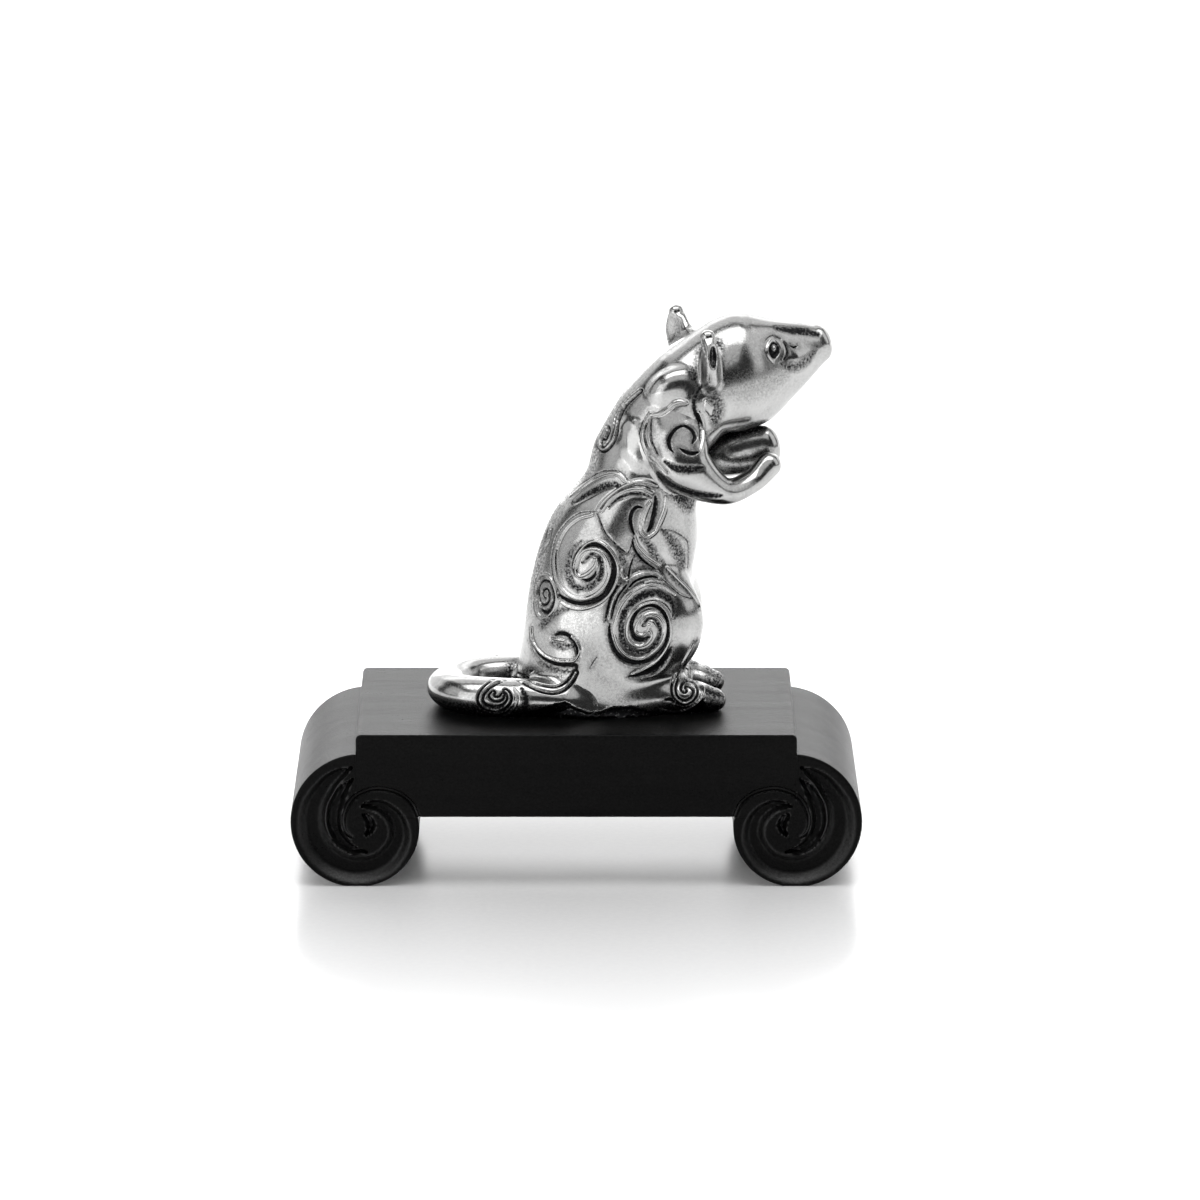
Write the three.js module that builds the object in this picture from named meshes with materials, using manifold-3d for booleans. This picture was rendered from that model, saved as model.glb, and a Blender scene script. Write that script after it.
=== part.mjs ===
// A cast pewter rat, sitting up with its forepaws raised, screwed to a black wooden plinth with scroll ends.
// Millimetres, +Z up. The rat faces +X and turns its head a little towards +Y.
// Origin: the centre of the plinth on the surface that it stands on.
import * as THREE from "three";
import { mergeVertices } from "three/addons/utils/BufferGeometryUtils.js";
import Module from "manifold-3d";

const wasm = await Module();
wasm.setup();

// Plinth
const BLOCK_LENGTH = 77;
const BLOCK_DEPTH = 47.5;
const BLOCK_HEIGHT = 14.85;
const BLOCK_UNDERSIDE = 12.55;
const BLOCK_CORNER_RADIUS = 0.9;
const EDGE_ROUNDING = 0.5;
const SCROLL_CENTRE_INSET = 0.6;
const SCROLL_CENTRE_HEIGHT = 11.05;
const SCROLL_TOP_RADIUS = 12.9;
const SCROLL_SHRINK_PER_TURN = 3.3;
const SCROLL_EDGE_ROUNDING = 0.4;
const VOLUTE_DEPTH = 1.2;
const VOLUTE_WIDTH = 2.2;
const VOLUTE_EYE_RADIUS = 2.4;
const VOLUTE_TIGHTENING = 1.8;
const VOLUTE_TURN = 215;
const VOLUTE_END_WIDTH = 0.8;

// Dowels between the block and its scrolls
const DOWEL_RADIUS = 2;
const DOWEL_LENGTH = 12;
const DOWEL_SPACING = 26;
const DOWEL_HEIGHT = 18.4;
const DOWEL_END_CHAMFER = 0.5;

// Screws that hold the rat, and what they turn into
const SCREW_SPACING = 15;
const SCREW_RADIUS = 1.5;
const SCREW_HEAD_RADIUS = 2.8;
const SCREW_HEAD_HEIGHT = 2;
const SCREW_CROWN_RADIUS = 2;
const SCREW_TIP_TAPER = 0.7;
const SCREW_SLOT_WIDTH = 0.8;
const SCREW_SLOT_DEPTH = 0.9;
const WASHER_RADIUS = 3.5;
const WASHER_THICKNESS = 0.6;
const COUNTERBORE_RADIUS = 4.2;
const COUNTERBORE_DEPTH = 5;
const INSERT_WALL = 1;
const INSERT_LENGTH = 6;
const INSERT_FLANGE_WIDTH = 0.9;
const INSERT_FLANGE_THICKNESS = 0.8;

// Castings
const WALL = 2.6;
const SOLE_THICKNESS = 2.4;
const SPIGOT_LENGTH = 3.5;
const NECK_SEAM = { x: 17.2, height: 53, lean: 38 };

// Clearances
const SOLDER_GAP = 0.3;
const GLUE_GAP = 0.1;
const SEAT_GAP = 0.05;
const HOLE_CLEARANCE = 0.2;

// Fineness of the facets
const ROUND_SIDES = 16;
const TRUNK_SIDES = 28;
const LIMB_SIDES = 14;
const HAUNCH_SIDES = 20;
const HAUNCH_RINGS = 12;
const DOME_RINGS = 3;
const SCROLL_STEP_DEGREES = 8;
const RINGS_PER_STATION = 2;
const MERGE_DISTANCE = 1e-4;

// The forms of the rat. A station is a place on the form's spine, with its height above the plinth's top.
// "wide" is the half width along the form's reference axis, "thick" the half width square to it.
const TRUNK = {
  foot: { x: 4.6, y: 0, height: -4, wide: 14.6, thick: 16.4 },
  hem: { x: 4.5, y: 0, height: 1.8, wide: 14.7, thick: 16 },
  seat: { x: 4.7, y: 0, height: 6, wide: 12.2, thick: 15.4 },
  hips: { x: 5.2, y: 0, height: 12, wide: 11.7, thick: 14.6 },
  belly: { x: 6.2, y: 0, height: 20, wide: 11.3, thick: 14.4 },
  ribs: { x: 7.5, y: 0, height: 27, wide: 11, thick: 13.7 },
  waist: { x: 9.7, y: 0, height: 33, wide: 10.6, thick: 12.4 },
  chest: { x: 11.5, y: 0, height: 39, wide: 9.9, thick: 10.2 },
  breast: { x: 12.9, y: 0, height: 45, wide: 9, thick: 9.8 },
  shoulders: { x: 15, y: 0, height: 51, wide: 8.6, thick: 8.2 },
  nape: { x: 19.9, y: 0.3, height: 55.8, wide: 8.3, thick: 7.6 },
};
const HEAD = {
  neck: { x: 16.7, y: 0, height: 51.1, wide: 8.2, thick: 8.2 },
  crown: { x: 20.9, y: 0.4, height: 56.1, wide: 8.7, thick: 8.9 },
  cheeks: { x: 26.8, y: 2.1, height: 59, wide: 8.8, thick: 10.3 },
  face: { x: 31.3, y: 3.4, height: 59.7, wide: 7.7, thick: 10.1 },
  muzzle: { x: 36.8, y: 5.1, height: 61.2, wide: 5.2, thick: 7.1 },
  nose: { x: 42.8, y: 6.9, height: 63.5, wide: 3, thick: 3.5 },
};
const NOSE_BLUNTNESS = 0.7;
const HAUNCH = { x: 11.8, y: 6.4, height: 16, lengthRadius: 10.6, widthRadius: 6.6, heightRadius: 11 };
const HIND_FOOT = {
  heel: { x: 9, y: 7.4, height: 2.2, wide: 2.7, thick: 3.6 },
  instep: { x: 15.5, y: 7.4, height: 2.9, wide: 3.2, thick: 3.7 },
  ball: { x: 20.8, y: 6.9, height: 2.3, wide: 2.5, thick: 3.5 },
  toes: { x: 24.3, y: 6.2, height: 1.4, wide: 1.5, thick: 2.8 },
};
const FORELEG = {
  shoulder: { x: 16.9, y: 5.6, height: 53, wide: 3.6, thick: 4.9 },
  upperArm: { x: 17.4, y: 7.9, height: 49.2, wide: 3.6, thick: 5.3 },
  elbow: { x: 19.6, y: 9.2, height: 44.2, wide: 4.1, thick: 4.7 },
  forearm: { x: 25.8, y: 7.6, height: 40, wide: 2.9, thick: 2.5 },
  wrist: { x: 30.8, y: 4.6, height: 41, wide: 2.3, thick: 2.1 },
  paw: { x: 33.8, y: 2.9, height: 43.6, wide: 2.2, thick: 2.3 },
};
// The left forepaw is raised higher than the right one, up to the chin.
const LEFT_FORELEG = {
  ...FORELEG,
  elbow: { x: 19.9, y: 8, height: 44.4, wide: 3.5, thick: 4.4 },
  forearm: { x: 25.8, y: 4.6, height: 44, wide: 3.8, thick: 4.2 },
  wrist: { x: 30.4, y: 3.4, height: 45, wide: 3.3, thick: 4.3 },
  paw: { x: 33.4, y: 2.6, height: 45.6, wide: 2.6, thick: 3.9 },
};
const TAIL = {
  leftRoot: { x: -4, y: 6.6, height: 3.1, wide: 3.2, thick: 3.4 },
  leftRun: { x: -12, y: 7.6, height: 3.1, wide: 3.2, thick: 3.4 },
  leftTurn: { x: -19.4, y: 5.2, height: 3.1, wide: 3.2, thick: 3.4 },
  bend: { x: -22.9, y: -1.8, height: 3.1, wide: 3.2, thick: 3.5 },
  rightTurn: { x: -19.6, y: -7.8, height: 3.2, wide: 3.4, thick: 3.7 },
  rightRun: { x: -12.4, y: -9.8, height: 3.2, wide: 3.4, thick: 3.8 },
  rightRoot: { x: -5, y: -10.2, height: 3.1, wide: 3.2, thick: 3.7 },
};
const EAR = { height: 8.2, halfWidth: 3.5, halfThickness: 1.35, rise: 3.6, backLean: 0.7, splay: 17 };
const EAR_OUTSET = 0.3;
// The ear's outline: how far up it is, and its width there, as shares of its height and half width.
const EAR_OUTLINE = [
  { up: 0, width: 0.6 },
  { up: 0.3, width: 0.95 },
  { up: 0.6, width: 1 },
  { up: 0.85, width: 0.65 },
  { up: 0.97, width: 0.35 },
];
const LEFT_EAR_LIFT = 1;
const HEAD_TURN = 17;

const PLATFORM = BLOCK_UNDERSIDE + BLOCK_HEIGHT;
const BIG = 300;
const UP = new THREE.Vector3(0, 0, 1);
const ACROSS = new THREE.Vector3(0, 1, 0);

const pewter = new THREE.MeshStandardMaterial({ color: 0xb9b8b4, roughness: 0.25, metalness: 1 });
const blackWood = new THREE.MeshStandardMaterial({ color: 0x141313, roughness: 0.5, metalness: 0 });
const beech = new THREE.MeshStandardMaterial({ color: 0xc9a36e, roughness: 0.8, metalness: 0 });
const steel = new THREE.MeshStandardMaterial({ color: 0xa5a7aa, roughness: 0.35, metalness: 1 });
const brass = new THREE.MeshStandardMaterial({ color: 0xb8923f, roughness: 0.35, metalness: 1 });

// Solids and geometries

function solidOf(geometry) {
  const bare = geometry.clone();
  bare.deleteAttribute("normal");
  bare.deleteAttribute("uv");
  const merged = mergeVertices(bare, MERGE_DISTANCE);
  return new wasm.Manifold(
    new wasm.Mesh({
      numProp: 3,
      vertProperties: new Float32Array(merged.attributes.position.array),
      triVerts: new Uint32Array(merged.index.array),
    }),
  );
}

function geometryOf(solid) {
  const mesh = solid.getMesh();
  const geometry = new THREE.BufferGeometry();
  geometry.setAttribute("position", new THREE.BufferAttribute(new Float32Array(mesh.vertProperties), 3));
  geometry.setIndex(new THREE.BufferAttribute(new Uint32Array(mesh.triVerts), 1));
  geometry.computeVertexNormals();
  return geometry;
}

// The largest of the bodies that a cut leaves, without the slivers beside it.
function largest(solid) {
  return solid.decompose().reduce((best, body) => (body.volume() > best.volume() ? body : best));
}

function boxSolid(low, high) {
  const geometry = new THREE.BoxGeometry(high.x - low.x, high.y - low.y, high.z - low.z);
  geometry.translate((low.x + high.x) / 2, (low.y + high.y) / 2, (low.z + high.z) / 2);
  return solidOf(geometry);
}

function slab(lowHeight, highHeight) {
  return boxSolid(new THREE.Vector3(-BIG, -BIG, lowHeight), new THREE.Vector3(BIG, BIG, highHeight));
}

// A turned piece. Its profile's points are [radius, height], from the axis at the bottom to that at the top.
function turned(profile, x, y) {
  const points = profile.map(([radius, height]) => new THREE.Vector2(radius, height));
  const geometry = new THREE.LatheGeometry(points, ROUND_SIDES);
  geometry.rotateX(Math.PI / 2);
  geometry.translate(x, y, 0);
  return solidOf(geometry);
}

function cylinder(radius, lowHeight, highHeight, x, y) {
  return turned([[0, lowHeight], [radius, lowHeight], [radius, highHeight], [0, highHeight]], x, y);
}

// Skins a list of rings that all have the same number of points, and closes both ends with a fan.
function skin(rings) {
  const sides = rings[0].length;
  const positions = rings.flat().flatMap((point) => [point.x, point.y, point.z]);
  const index = [];
  for (let ring = 0; ring + 1 < rings.length; ring++) {
    for (let side = 0; side < sides; side++) {
      const next = (side + 1) % sides;
      const a = ring * sides + side;
      const b = ring * sides + next;
      index.push(a, b, a + sides, b, b + sides, a + sides);
    }
  }
  for (const [ring, flip] of [[0, true], [rings.length - 1, false]]) {
    const middle = new THREE.Vector3();
    for (const point of rings[ring]) middle.addScaledVector(point, 1 / sides);
    const hub = positions.length / 3;
    positions.push(middle.x, middle.y, middle.z);
    for (let side = 0; side < sides; side++) {
      const a = ring * sides + side;
      const b = ring * sides + ((side + 1) % sides);
      index.push(hub, flip ? b : a, flip ? a : b);
    }
  }
  const geometry = new THREE.BufferGeometry();
  geometry.setAttribute("position", new THREE.BufferAttribute(new Float32Array(positions), 3));
  geometry.setIndex(index);
  return geometry;
}

// A form that swells and tapers along a smooth spine, with an oval section at each station and rounded ends.
// "grow" makes it that much larger all round, and "mirror" puts it on the other side of the rat.
// "bluntness" is how far its ends bulge, as a share of the smaller half width there.
function form(stations, { axis = ACROSS, sides = LIMB_SIDES, grow = 0, mirror = false, bluntness = 1 }) {
  const side = mirror ? -1 : 1;
  const list = Object.values(stations);
  const places = list.map((s) => new THREE.Vector3(s.x, side * s.y, PLATFORM + s.height));
  const widths = list.map((s) => new THREE.Vector3(s.wide + grow, s.thick + grow, 0));
  const spine = new THREE.CatmullRomCurve3(places, false, "catmullrom", 0.5);
  const section = new THREE.CatmullRomCurve3(widths, false, "catmullrom", 0.5);
  const steps = (list.length - 1) * RINGS_PER_STATION;
  const rings = [];
  const addRing = (share, push, shrink) => {
    const tangent = spine.getTangent(share);
    const centre = spine.getPoint(share).addScaledVector(tangent, push);
    const across = axis.clone().addScaledVector(tangent, -axis.dot(tangent)).normalize();
    const other = tangent.clone().cross(across);
    const size = section.getPoint(share).multiplyScalar(shrink);
    const ring = [];
    for (let i = 0; i < sides; i++) {
      const angle = (2 * Math.PI * i) / sides;
      ring.push(
        centre.clone()
          .addScaledVector(across, size.x * Math.cos(angle))
          .addScaledVector(other, size.y * Math.sin(angle)),
      );
    }
    rings.push(ring);
  };
  const domeAngle = (i) => ((Math.PI / 2) * i) / (DOME_RINGS + 0.5);
  const reach = (size) => bluntness * Math.min(size.x, size.y);
  for (let i = DOME_RINGS; i > 0; i--) {
    addRing(0, -reach(widths[0]) * Math.sin(domeAngle(i)), Math.cos(domeAngle(i)));
  }
  for (let i = 0; i <= steps; i++) addRing(i / steps, 0, 1);
  for (let i = 1; i <= DOME_RINGS; i++) {
    addRing(1, reach(widths.at(-1)) * Math.sin(domeAngle(i)), Math.cos(domeAngle(i)));
  }
  return solidOf(skin(rings));
}

// Rat

const trunkForm = (grow) => form(TRUNK, { sides: TRUNK_SIDES, grow });

function haunch(side, grow) {
  const geometry = new THREE.SphereGeometry(1, HAUNCH_SIDES, HAUNCH_RINGS);
  geometry.rotateX(Math.PI / 2);
  geometry.scale(HAUNCH.lengthRadius + grow, HAUNCH.widthRadius + grow, HAUNCH.heightRadius + grow);
  geometry.translate(HAUNCH.x, side * HAUNCH.y, PLATFORM + HAUNCH.height);
  return solidOf(geometry);
}

// Trunk, haunches, hind feet and head as one outer form, which the seam at the neck then divides.
function figure(grow) {
  return [
    haunch(1, grow),
    haunch(-1, grow),
    form(HIND_FOOT, { axis: UP, grow }),
    form(HIND_FOOT, { axis: UP, grow, mirror: true }),
    form(HEAD, { sides: TRUNK_SIDES, grow, bluntness: NOSE_BLUNTNESS }),
  ].reduce((whole, piece) => whole.add(piece), trunkForm(grow));
}

// All that lies beyond the neck seam, less a margin.
function beyondNeck(margin) {
  const geometry = new THREE.BoxGeometry(BIG, BIG, BIG);
  geometry.translate(0, 0, BIG / 2 + margin);
  geometry.rotateY(THREE.MathUtils.degToRad(NECK_SEAM.lean));
  geometry.translate(NECK_SEAM.x, 0, PLATFORM + NECK_SEAM.height);
  return solidOf(geometry);
}

const belowPlatform = slab(-BIG, PLATFORM + SEAT_GAP);
const solidFigure = figure(0).subtract(belowPlatform);
const swollenFigure = figure(SOLDER_GAP);
const hollow = trunkForm(-WALL);
const hollowFilling = trunkForm(-WALL - SOLDER_GAP);

function bodyCasting() {
  return largest(solidFigure.subtract(beyondNeck(0)).subtract(hollow));
}

function headCasting() {
  const head = largest(solidFigure.intersect(beyondNeck(SOLDER_GAP)));
  const spigot = hollowFilling.intersect(beyondNeck(-SPIGOT_LENGTH)).subtract(beyondNeck(2 * SOLDER_GAP));
  return head.add(largest(spigot));
}

function foreleg(stations, mirror) {
  return largest(form(stations, { mirror }).subtract(swollenFigure));
}

function tail() {
  return largest(form(TAIL, { axis: UP }).subtract(swollenFigure).subtract(belowPlatform));
}

// An upright petal on the side of the head. The head's turn sets one ear further back than the other.
function ear(side, lift) {
  const turn = THREE.MathUtils.degToRad(HEAD_TURN);
  const spread = HEAD.crown.wide + EAR_OUTSET;
  const stations = EAR_OUTLINE.map(({ up, width }) => ({
    x: HEAD.crown.x - side * spread * Math.sin(turn) - EAR.backLean * up ** 2,
    y: HEAD.crown.y + side * spread * Math.cos(turn),
    height: HEAD.crown.height + EAR.rise + lift + EAR.height * up,
    wide: EAR.halfWidth * width,
    thick: EAR.halfThickness,
  }));
  const facing = THREE.MathUtils.degToRad(HEAD_TURN + side * EAR.splay);
  const axis = new THREE.Vector3(-Math.sin(facing), Math.cos(facing), 0);
  return largest(form(stations, { axis }).subtract(swollenFigure));
}

const screwPlaces = [-1, 1].map((end) => TRUNK.seat.x + (end * SCREW_SPACING) / 2);
const insertBore = SCREW_RADIUS + HOLE_CLEARANCE;
const insertRadius = insertBore + INSERT_WALL;
const soleTop = PLATFORM + SEAT_GAP + SOLE_THICKNESS;

function solePlate() {
  const plate = hollowFilling.intersect(slab(PLATFORM + SEAT_GAP, soleTop));
  return screwPlaces.reduce(
    (left, x) => left.subtract(cylinder(insertRadius + HOLE_CLEARANCE, PLATFORM - 1, soleTop + 1, x, 0)),
    plate,
  );
}

function threadedInsert(x) {
  const bottom = PLATFORM + SEAT_GAP;
  const flange = soleTop + SEAT_GAP;
  const flangeRadius = insertRadius + HOLE_CLEARANCE + INSERT_FLANGE_WIDTH;
  const profile = [
    [0, bottom],
    [insertRadius, bottom],
    [insertRadius, flange],
    [flangeRadius, flange],
    [flangeRadius, flange + INSERT_FLANGE_THICKNESS],
    [insertRadius, flange + INSERT_FLANGE_THICKNESS],
    [insertRadius, bottom + INSERT_LENGTH],
    [0, bottom + INSERT_LENGTH],
  ];
  const bore = cylinder(insertBore, bottom - 1, bottom + INSERT_LENGTH + 1, x, 0);
  return turned(profile, x, 0).subtract(bore);
}

const counterboreFloor = BLOCK_UNDERSIDE + COUNTERBORE_DEPTH;
const washerBottom = counterboreFloor - SEAT_GAP - WASHER_THICKNESS;

function washer(x) {
  const disc = cylinder(WASHER_RADIUS, washerBottom, washerBottom + WASHER_THICKNESS, x, 0);
  return disc.subtract(cylinder(SCREW_RADIUS + HOLE_CLEARANCE, washerBottom - 1, counterboreFloor + 1, x, 0));
}

function screw(x) {
  const headTop = washerBottom - SEAT_GAP;
  const headBottom = headTop - SCREW_HEAD_HEIGHT;
  const tip = PLATFORM + SEAT_GAP + INSERT_LENGTH;
  const profile = [
    [0, headBottom],
    [SCREW_CROWN_RADIUS, headBottom],
    [SCREW_HEAD_RADIUS, headBottom + SCREW_HEAD_HEIGHT / 2],
    [SCREW_HEAD_RADIUS, headTop],
    [SCREW_RADIUS, headTop],
    [SCREW_RADIUS, tip - SCREW_TIP_TAPER],
    [SCREW_RADIUS - SCREW_TIP_TAPER, tip],
    [0, tip],
  ];
  const slotHalf = SCREW_SLOT_WIDTH / 2;
  const slotReach = SCREW_CROWN_RADIUS;
  const slots = [[slotReach, slotHalf], [slotHalf, slotReach]].map(([reachX, reachY]) =>
    boxSolid(
      new THREE.Vector3(x - reachX, -reachY, headBottom - 1),
      new THREE.Vector3(x + reachX, reachY, headBottom + SCREW_SLOT_DEPTH),
    ),
  );
  return slots.reduce((left, slot) => left.subtract(slot), turned(profile, x, 0));
}

// Plinth

const blockEnd = BLOCK_LENGTH / 2;
const halfDepth = BLOCK_DEPTH / 2;
const scrollCentreX = blockEnd - SCROLL_CENTRE_INSET;
const scrollRadius = (degrees) => SCROLL_TOP_RADIUS - (SCROLL_SHRINK_PER_TURN * (degrees - 90)) / 360;

// A point of the left scroll, seen from the front: the angle runs counter-clockwise from +X.
function scrollPoint(degrees, radius) {
  const angle = THREE.MathUtils.degToRad(degrees);
  return new THREE.Vector2(
    -scrollCentreX + radius * Math.cos(angle),
    SCROLL_CENTRE_HEIGHT + radius * Math.sin(angle),
  );
}

// The angle at which the spiral first passes a test, to within a small step.
function scrollAngleWhere(test, from) {
  const step = 0.05;
  let degrees = from;
  while (!test(scrollPoint(degrees, scrollRadius(degrees))) && degrees < from + 360) degrees += step;
  return degrees;
}

// Extrudes an outline drawn in X and Z through the plinth's depth, from its front face to its back one.
function throughDepth(outline, depth, front, rounding) {
  const geometry = new THREE.ExtrudeGeometry(new THREE.Shape(outline), {
    depth: depth - 2 * rounding,
    bevelEnabled: rounding > 0,
    bevelSize: rounding,
    bevelOffset: -rounding,
    bevelThickness: rounding,
    bevelSegments: 1,
    curveSegments: 1,
  });
  geometry.rotateX(Math.PI / 2);
  geometry.translate(0, front + depth - rounding, 0);
  return solidOf(geometry);
}

function mirrored(solid) {
  return solid.mirror([1, 0, 0]);
}

// The groove that winds in from the underside of the block to the eye of the volute.
function voluteGroove() {
  const start = scrollAngleWhere((p) => p.y > BLOCK_UNDERSIDE, 300);
  const end = start + VOLUTE_TURN;
  const startRadius = scrollRadius(start);
  const outer = [];
  const inner = [];
  for (let degrees = start; degrees <= end; degrees += SCROLL_STEP_DEGREES) {
    const left = (end - degrees) / (end - start);
    const radius = VOLUTE_EYE_RADIUS + (startRadius - VOLUTE_EYE_RADIUS) * left ** VOLUTE_TIGHTENING;
    const width = VOLUTE_END_WIDTH + (VOLUTE_WIDTH - VOLUTE_END_WIDTH) * Math.sin(Math.PI * left);
    outer.push(scrollPoint(degrees, radius));
    inner.push(scrollPoint(degrees, radius - width));
  }
  const outline = [...outer, ...inner.reverse()];
  const front = throughDepth(outline, 2 * VOLUTE_DEPTH, -halfDepth - VOLUTE_DEPTH, 0);
  const back = throughDepth(outline, 2 * VOLUTE_DEPTH, halfDepth - VOLUTE_DEPTH, 0);
  return front.add(back);
}

const leftGroove = voluteGroove();
const dowelHoleLength = DOWEL_LENGTH + 2 * HOLE_CLEARANCE;

function alongX(radius, length, chamfer, x, y, z) {
  const half = length / 2;
  const profile = [
    [0, -half],
    [radius - chamfer, -half],
    [radius, -half + chamfer],
    [radius, half - chamfer],
    [radius - chamfer, half],
    [0, half],
  ].map(([r, h]) => new THREE.Vector2(r, h));
  const geometry = new THREE.LatheGeometry(profile, ROUND_SIDES);
  geometry.rotateZ(-Math.PI / 2);
  geometry.translate(x, y, z);
  return solidOf(geometry);
}

const dowelPlaces = [-1, 1].flatMap((end) => [-1, 1].map((row) => ({ end, row })));
const dowelX = (end) => end * (blockEnd + GLUE_GAP / 2);
const dowel = ({ end, row }) =>
  alongX(DOWEL_RADIUS, DOWEL_LENGTH, DOWEL_END_CHAMFER, dowelX(end), (row * DOWEL_SPACING) / 2, DOWEL_HEIGHT);
const dowelHoles = dowelPlaces
  .map(({ end, row }) =>
    alongX(
      DOWEL_RADIUS + HOLE_CLEARANCE,
      dowelHoleLength,
      DOWEL_END_CHAMFER,
      dowelX(end),
      (row * DOWEL_SPACING) / 2,
      DOWEL_HEIGHT,
    ),
  )
  .reduce((all, hole) => all.add(hole));

function plinthBlock() {
  const x = blockEnd - EDGE_ROUNDING;
  const y = halfDepth - EDGE_ROUNDING;
  const r = BLOCK_CORNER_RADIUS;
  const plan = new THREE.Shape()
    .moveTo(-x + r, -y)
    .lineTo(x - r, -y)
    .absarc(x - r, -y + r, r, -Math.PI / 2, 0)
    .lineTo(x, y - r)
    .absarc(x - r, y - r, r, 0, Math.PI / 2)
    .lineTo(-x + r, y)
    .absarc(-x + r, y - r, r, Math.PI / 2, Math.PI)
    .lineTo(-x, -y + r)
    .absarc(-x + r, -y + r, r, Math.PI, 1.5 * Math.PI);
  const geometry = new THREE.ExtrudeGeometry(plan, {
    depth: BLOCK_HEIGHT - 2 * EDGE_ROUNDING,
    bevelSize: EDGE_ROUNDING,
    bevelThickness: EDGE_ROUNDING,
    bevelSegments: 2,
    curveSegments: 4,
  });
  geometry.translate(0, 0, BLOCK_UNDERSIDE + EDGE_ROUNDING);
  const bored = screwPlaces.reduce(
    (left, screwX) =>
      left
        .subtract(cylinder(SCREW_RADIUS + HOLE_CLEARANCE, BLOCK_UNDERSIDE - 1, PLATFORM + 1, screwX, 0))
        .subtract(cylinder(COUNTERBORE_RADIUS, BLOCK_UNDERSIDE - 1, counterboreFloor, screwX, 0)),
    solidOf(geometry),
  );
  return bored.subtract(dowelHoles).subtract(leftGroove).subtract(mirrored(leftGroove));
}

// The scroll's roll is notched to take the corner of the block, and flat where it stands.
function leftScroll() {
  const notchX = -blockEnd - GLUE_GAP;
  const notchZ = BLOCK_UNDERSIDE - GLUE_GAP;
  const start = scrollAngleWhere((p) => p.x < notchX, 90);
  const end = scrollAngleWhere((p) => p.y > notchZ, 300);
  const outline = [];
  for (let degrees = start; degrees < end; degrees += SCROLL_STEP_DEGREES) {
    outline.push(scrollPoint(degrees, scrollRadius(degrees)));
  }
  outline.push(new THREE.Vector2(scrollPoint(end, scrollRadius(end)).x, notchZ));
  outline.push(new THREE.Vector2(notchX, notchZ));
  return throughDepth(outline, BLOCK_DEPTH, -halfDepth, SCROLL_EDGE_ROUNDING)
    .subtract(slab(-BIG, 0))
    .subtract(dowelHoles)
    .subtract(leftGroove);
}

// Assembly

const rat = new THREE.Group();

function add(name, solid, material) {
  const mesh = new THREE.Mesh(geometryOf(solid), material);
  mesh.name = name;
  rat.add(mesh);
}

add("body_casting", bodyCasting(), pewter);
add("head_casting", headCasting(), pewter);
add("right_ear", ear(-1, 0), pewter);
add("left_ear", ear(1, LEFT_EAR_LIFT), pewter);
add("right_foreleg", foreleg(FORELEG, true), pewter);
add("left_foreleg", foreleg(LEFT_FORELEG, false), pewter);
add("tail", tail(), pewter);
add("sole_plate", solePlate(), pewter);
screwPlaces.forEach((x, i) => {
  const place = ["rear", "front"][i];
  add(`${place}_threaded_insert`, threadedInsert(x), brass);
  add(`${place}_washer`, washer(x), steel);
  add(`${place}_screw`, screw(x), steel);
});
add("plinth_block", plinthBlock(), blackWood);
add("left_scroll", leftScroll(), blackWood);
add("right_scroll", mirrored(leftScroll()), blackWood);
dowelPlaces.forEach((place, i) => add(`dowel_${i + 1}`, dowel(place), beech));

export default rat;
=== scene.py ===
"""The pewter rat on its black plinth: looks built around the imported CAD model.

Lengths are in millimetres until a mesh is made, in the CAD model's own frame.
"""
import math
from contextlib import contextmanager

import bmesh
import bpy
import numpy as np
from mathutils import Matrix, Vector
from mathutils.geometry import delaunay_2d_cdt


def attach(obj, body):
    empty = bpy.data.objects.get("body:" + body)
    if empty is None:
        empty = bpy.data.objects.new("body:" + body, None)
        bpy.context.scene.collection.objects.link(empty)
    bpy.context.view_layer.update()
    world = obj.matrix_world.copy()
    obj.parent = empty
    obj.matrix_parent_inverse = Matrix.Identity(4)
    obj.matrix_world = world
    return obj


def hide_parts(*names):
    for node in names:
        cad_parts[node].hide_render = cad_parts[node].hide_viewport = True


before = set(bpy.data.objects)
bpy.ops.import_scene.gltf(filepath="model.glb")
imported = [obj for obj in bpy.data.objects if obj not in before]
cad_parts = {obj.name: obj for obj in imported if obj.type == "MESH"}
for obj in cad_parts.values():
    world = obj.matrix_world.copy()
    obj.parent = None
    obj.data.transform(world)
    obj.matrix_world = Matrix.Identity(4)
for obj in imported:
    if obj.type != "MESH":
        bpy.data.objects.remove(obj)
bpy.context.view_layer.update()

MM = 0.001

# Plinth
BLOCK_HALF_LENGTH = 38.5
HALF_DEPTH = 23.75
BLOCK_UNDERSIDE = 12.55
PLATFORM = 27.4
BLOCK_ROUNDING = 0.35
BLOCK_CORNER_RADIUS = 0.9
SCROLL_ROUNDING = 0.4
JOINT_ROUNDING = 0.02
SCROLL_CENTRE_X = 37.9
SCROLL_CENTRE_HEIGHT = 11.05
SCROLL_TOP_RADIUS = 12.9
SCROLL_SHRINK_PER_TURN = 3.3
SCREW_PLACES = (-3.0, 12.0)
COUNTERBORE_RADIUS = 4.2
COUNTERBORE_DEPTH = 5
SCREW_HOLE_RADIUS = 1.7
BORE_SIDES = 48
BORE_OVERRUN = 2
BORE_OVERLAP = 1
SHARP_ANGLE = 40

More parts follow.
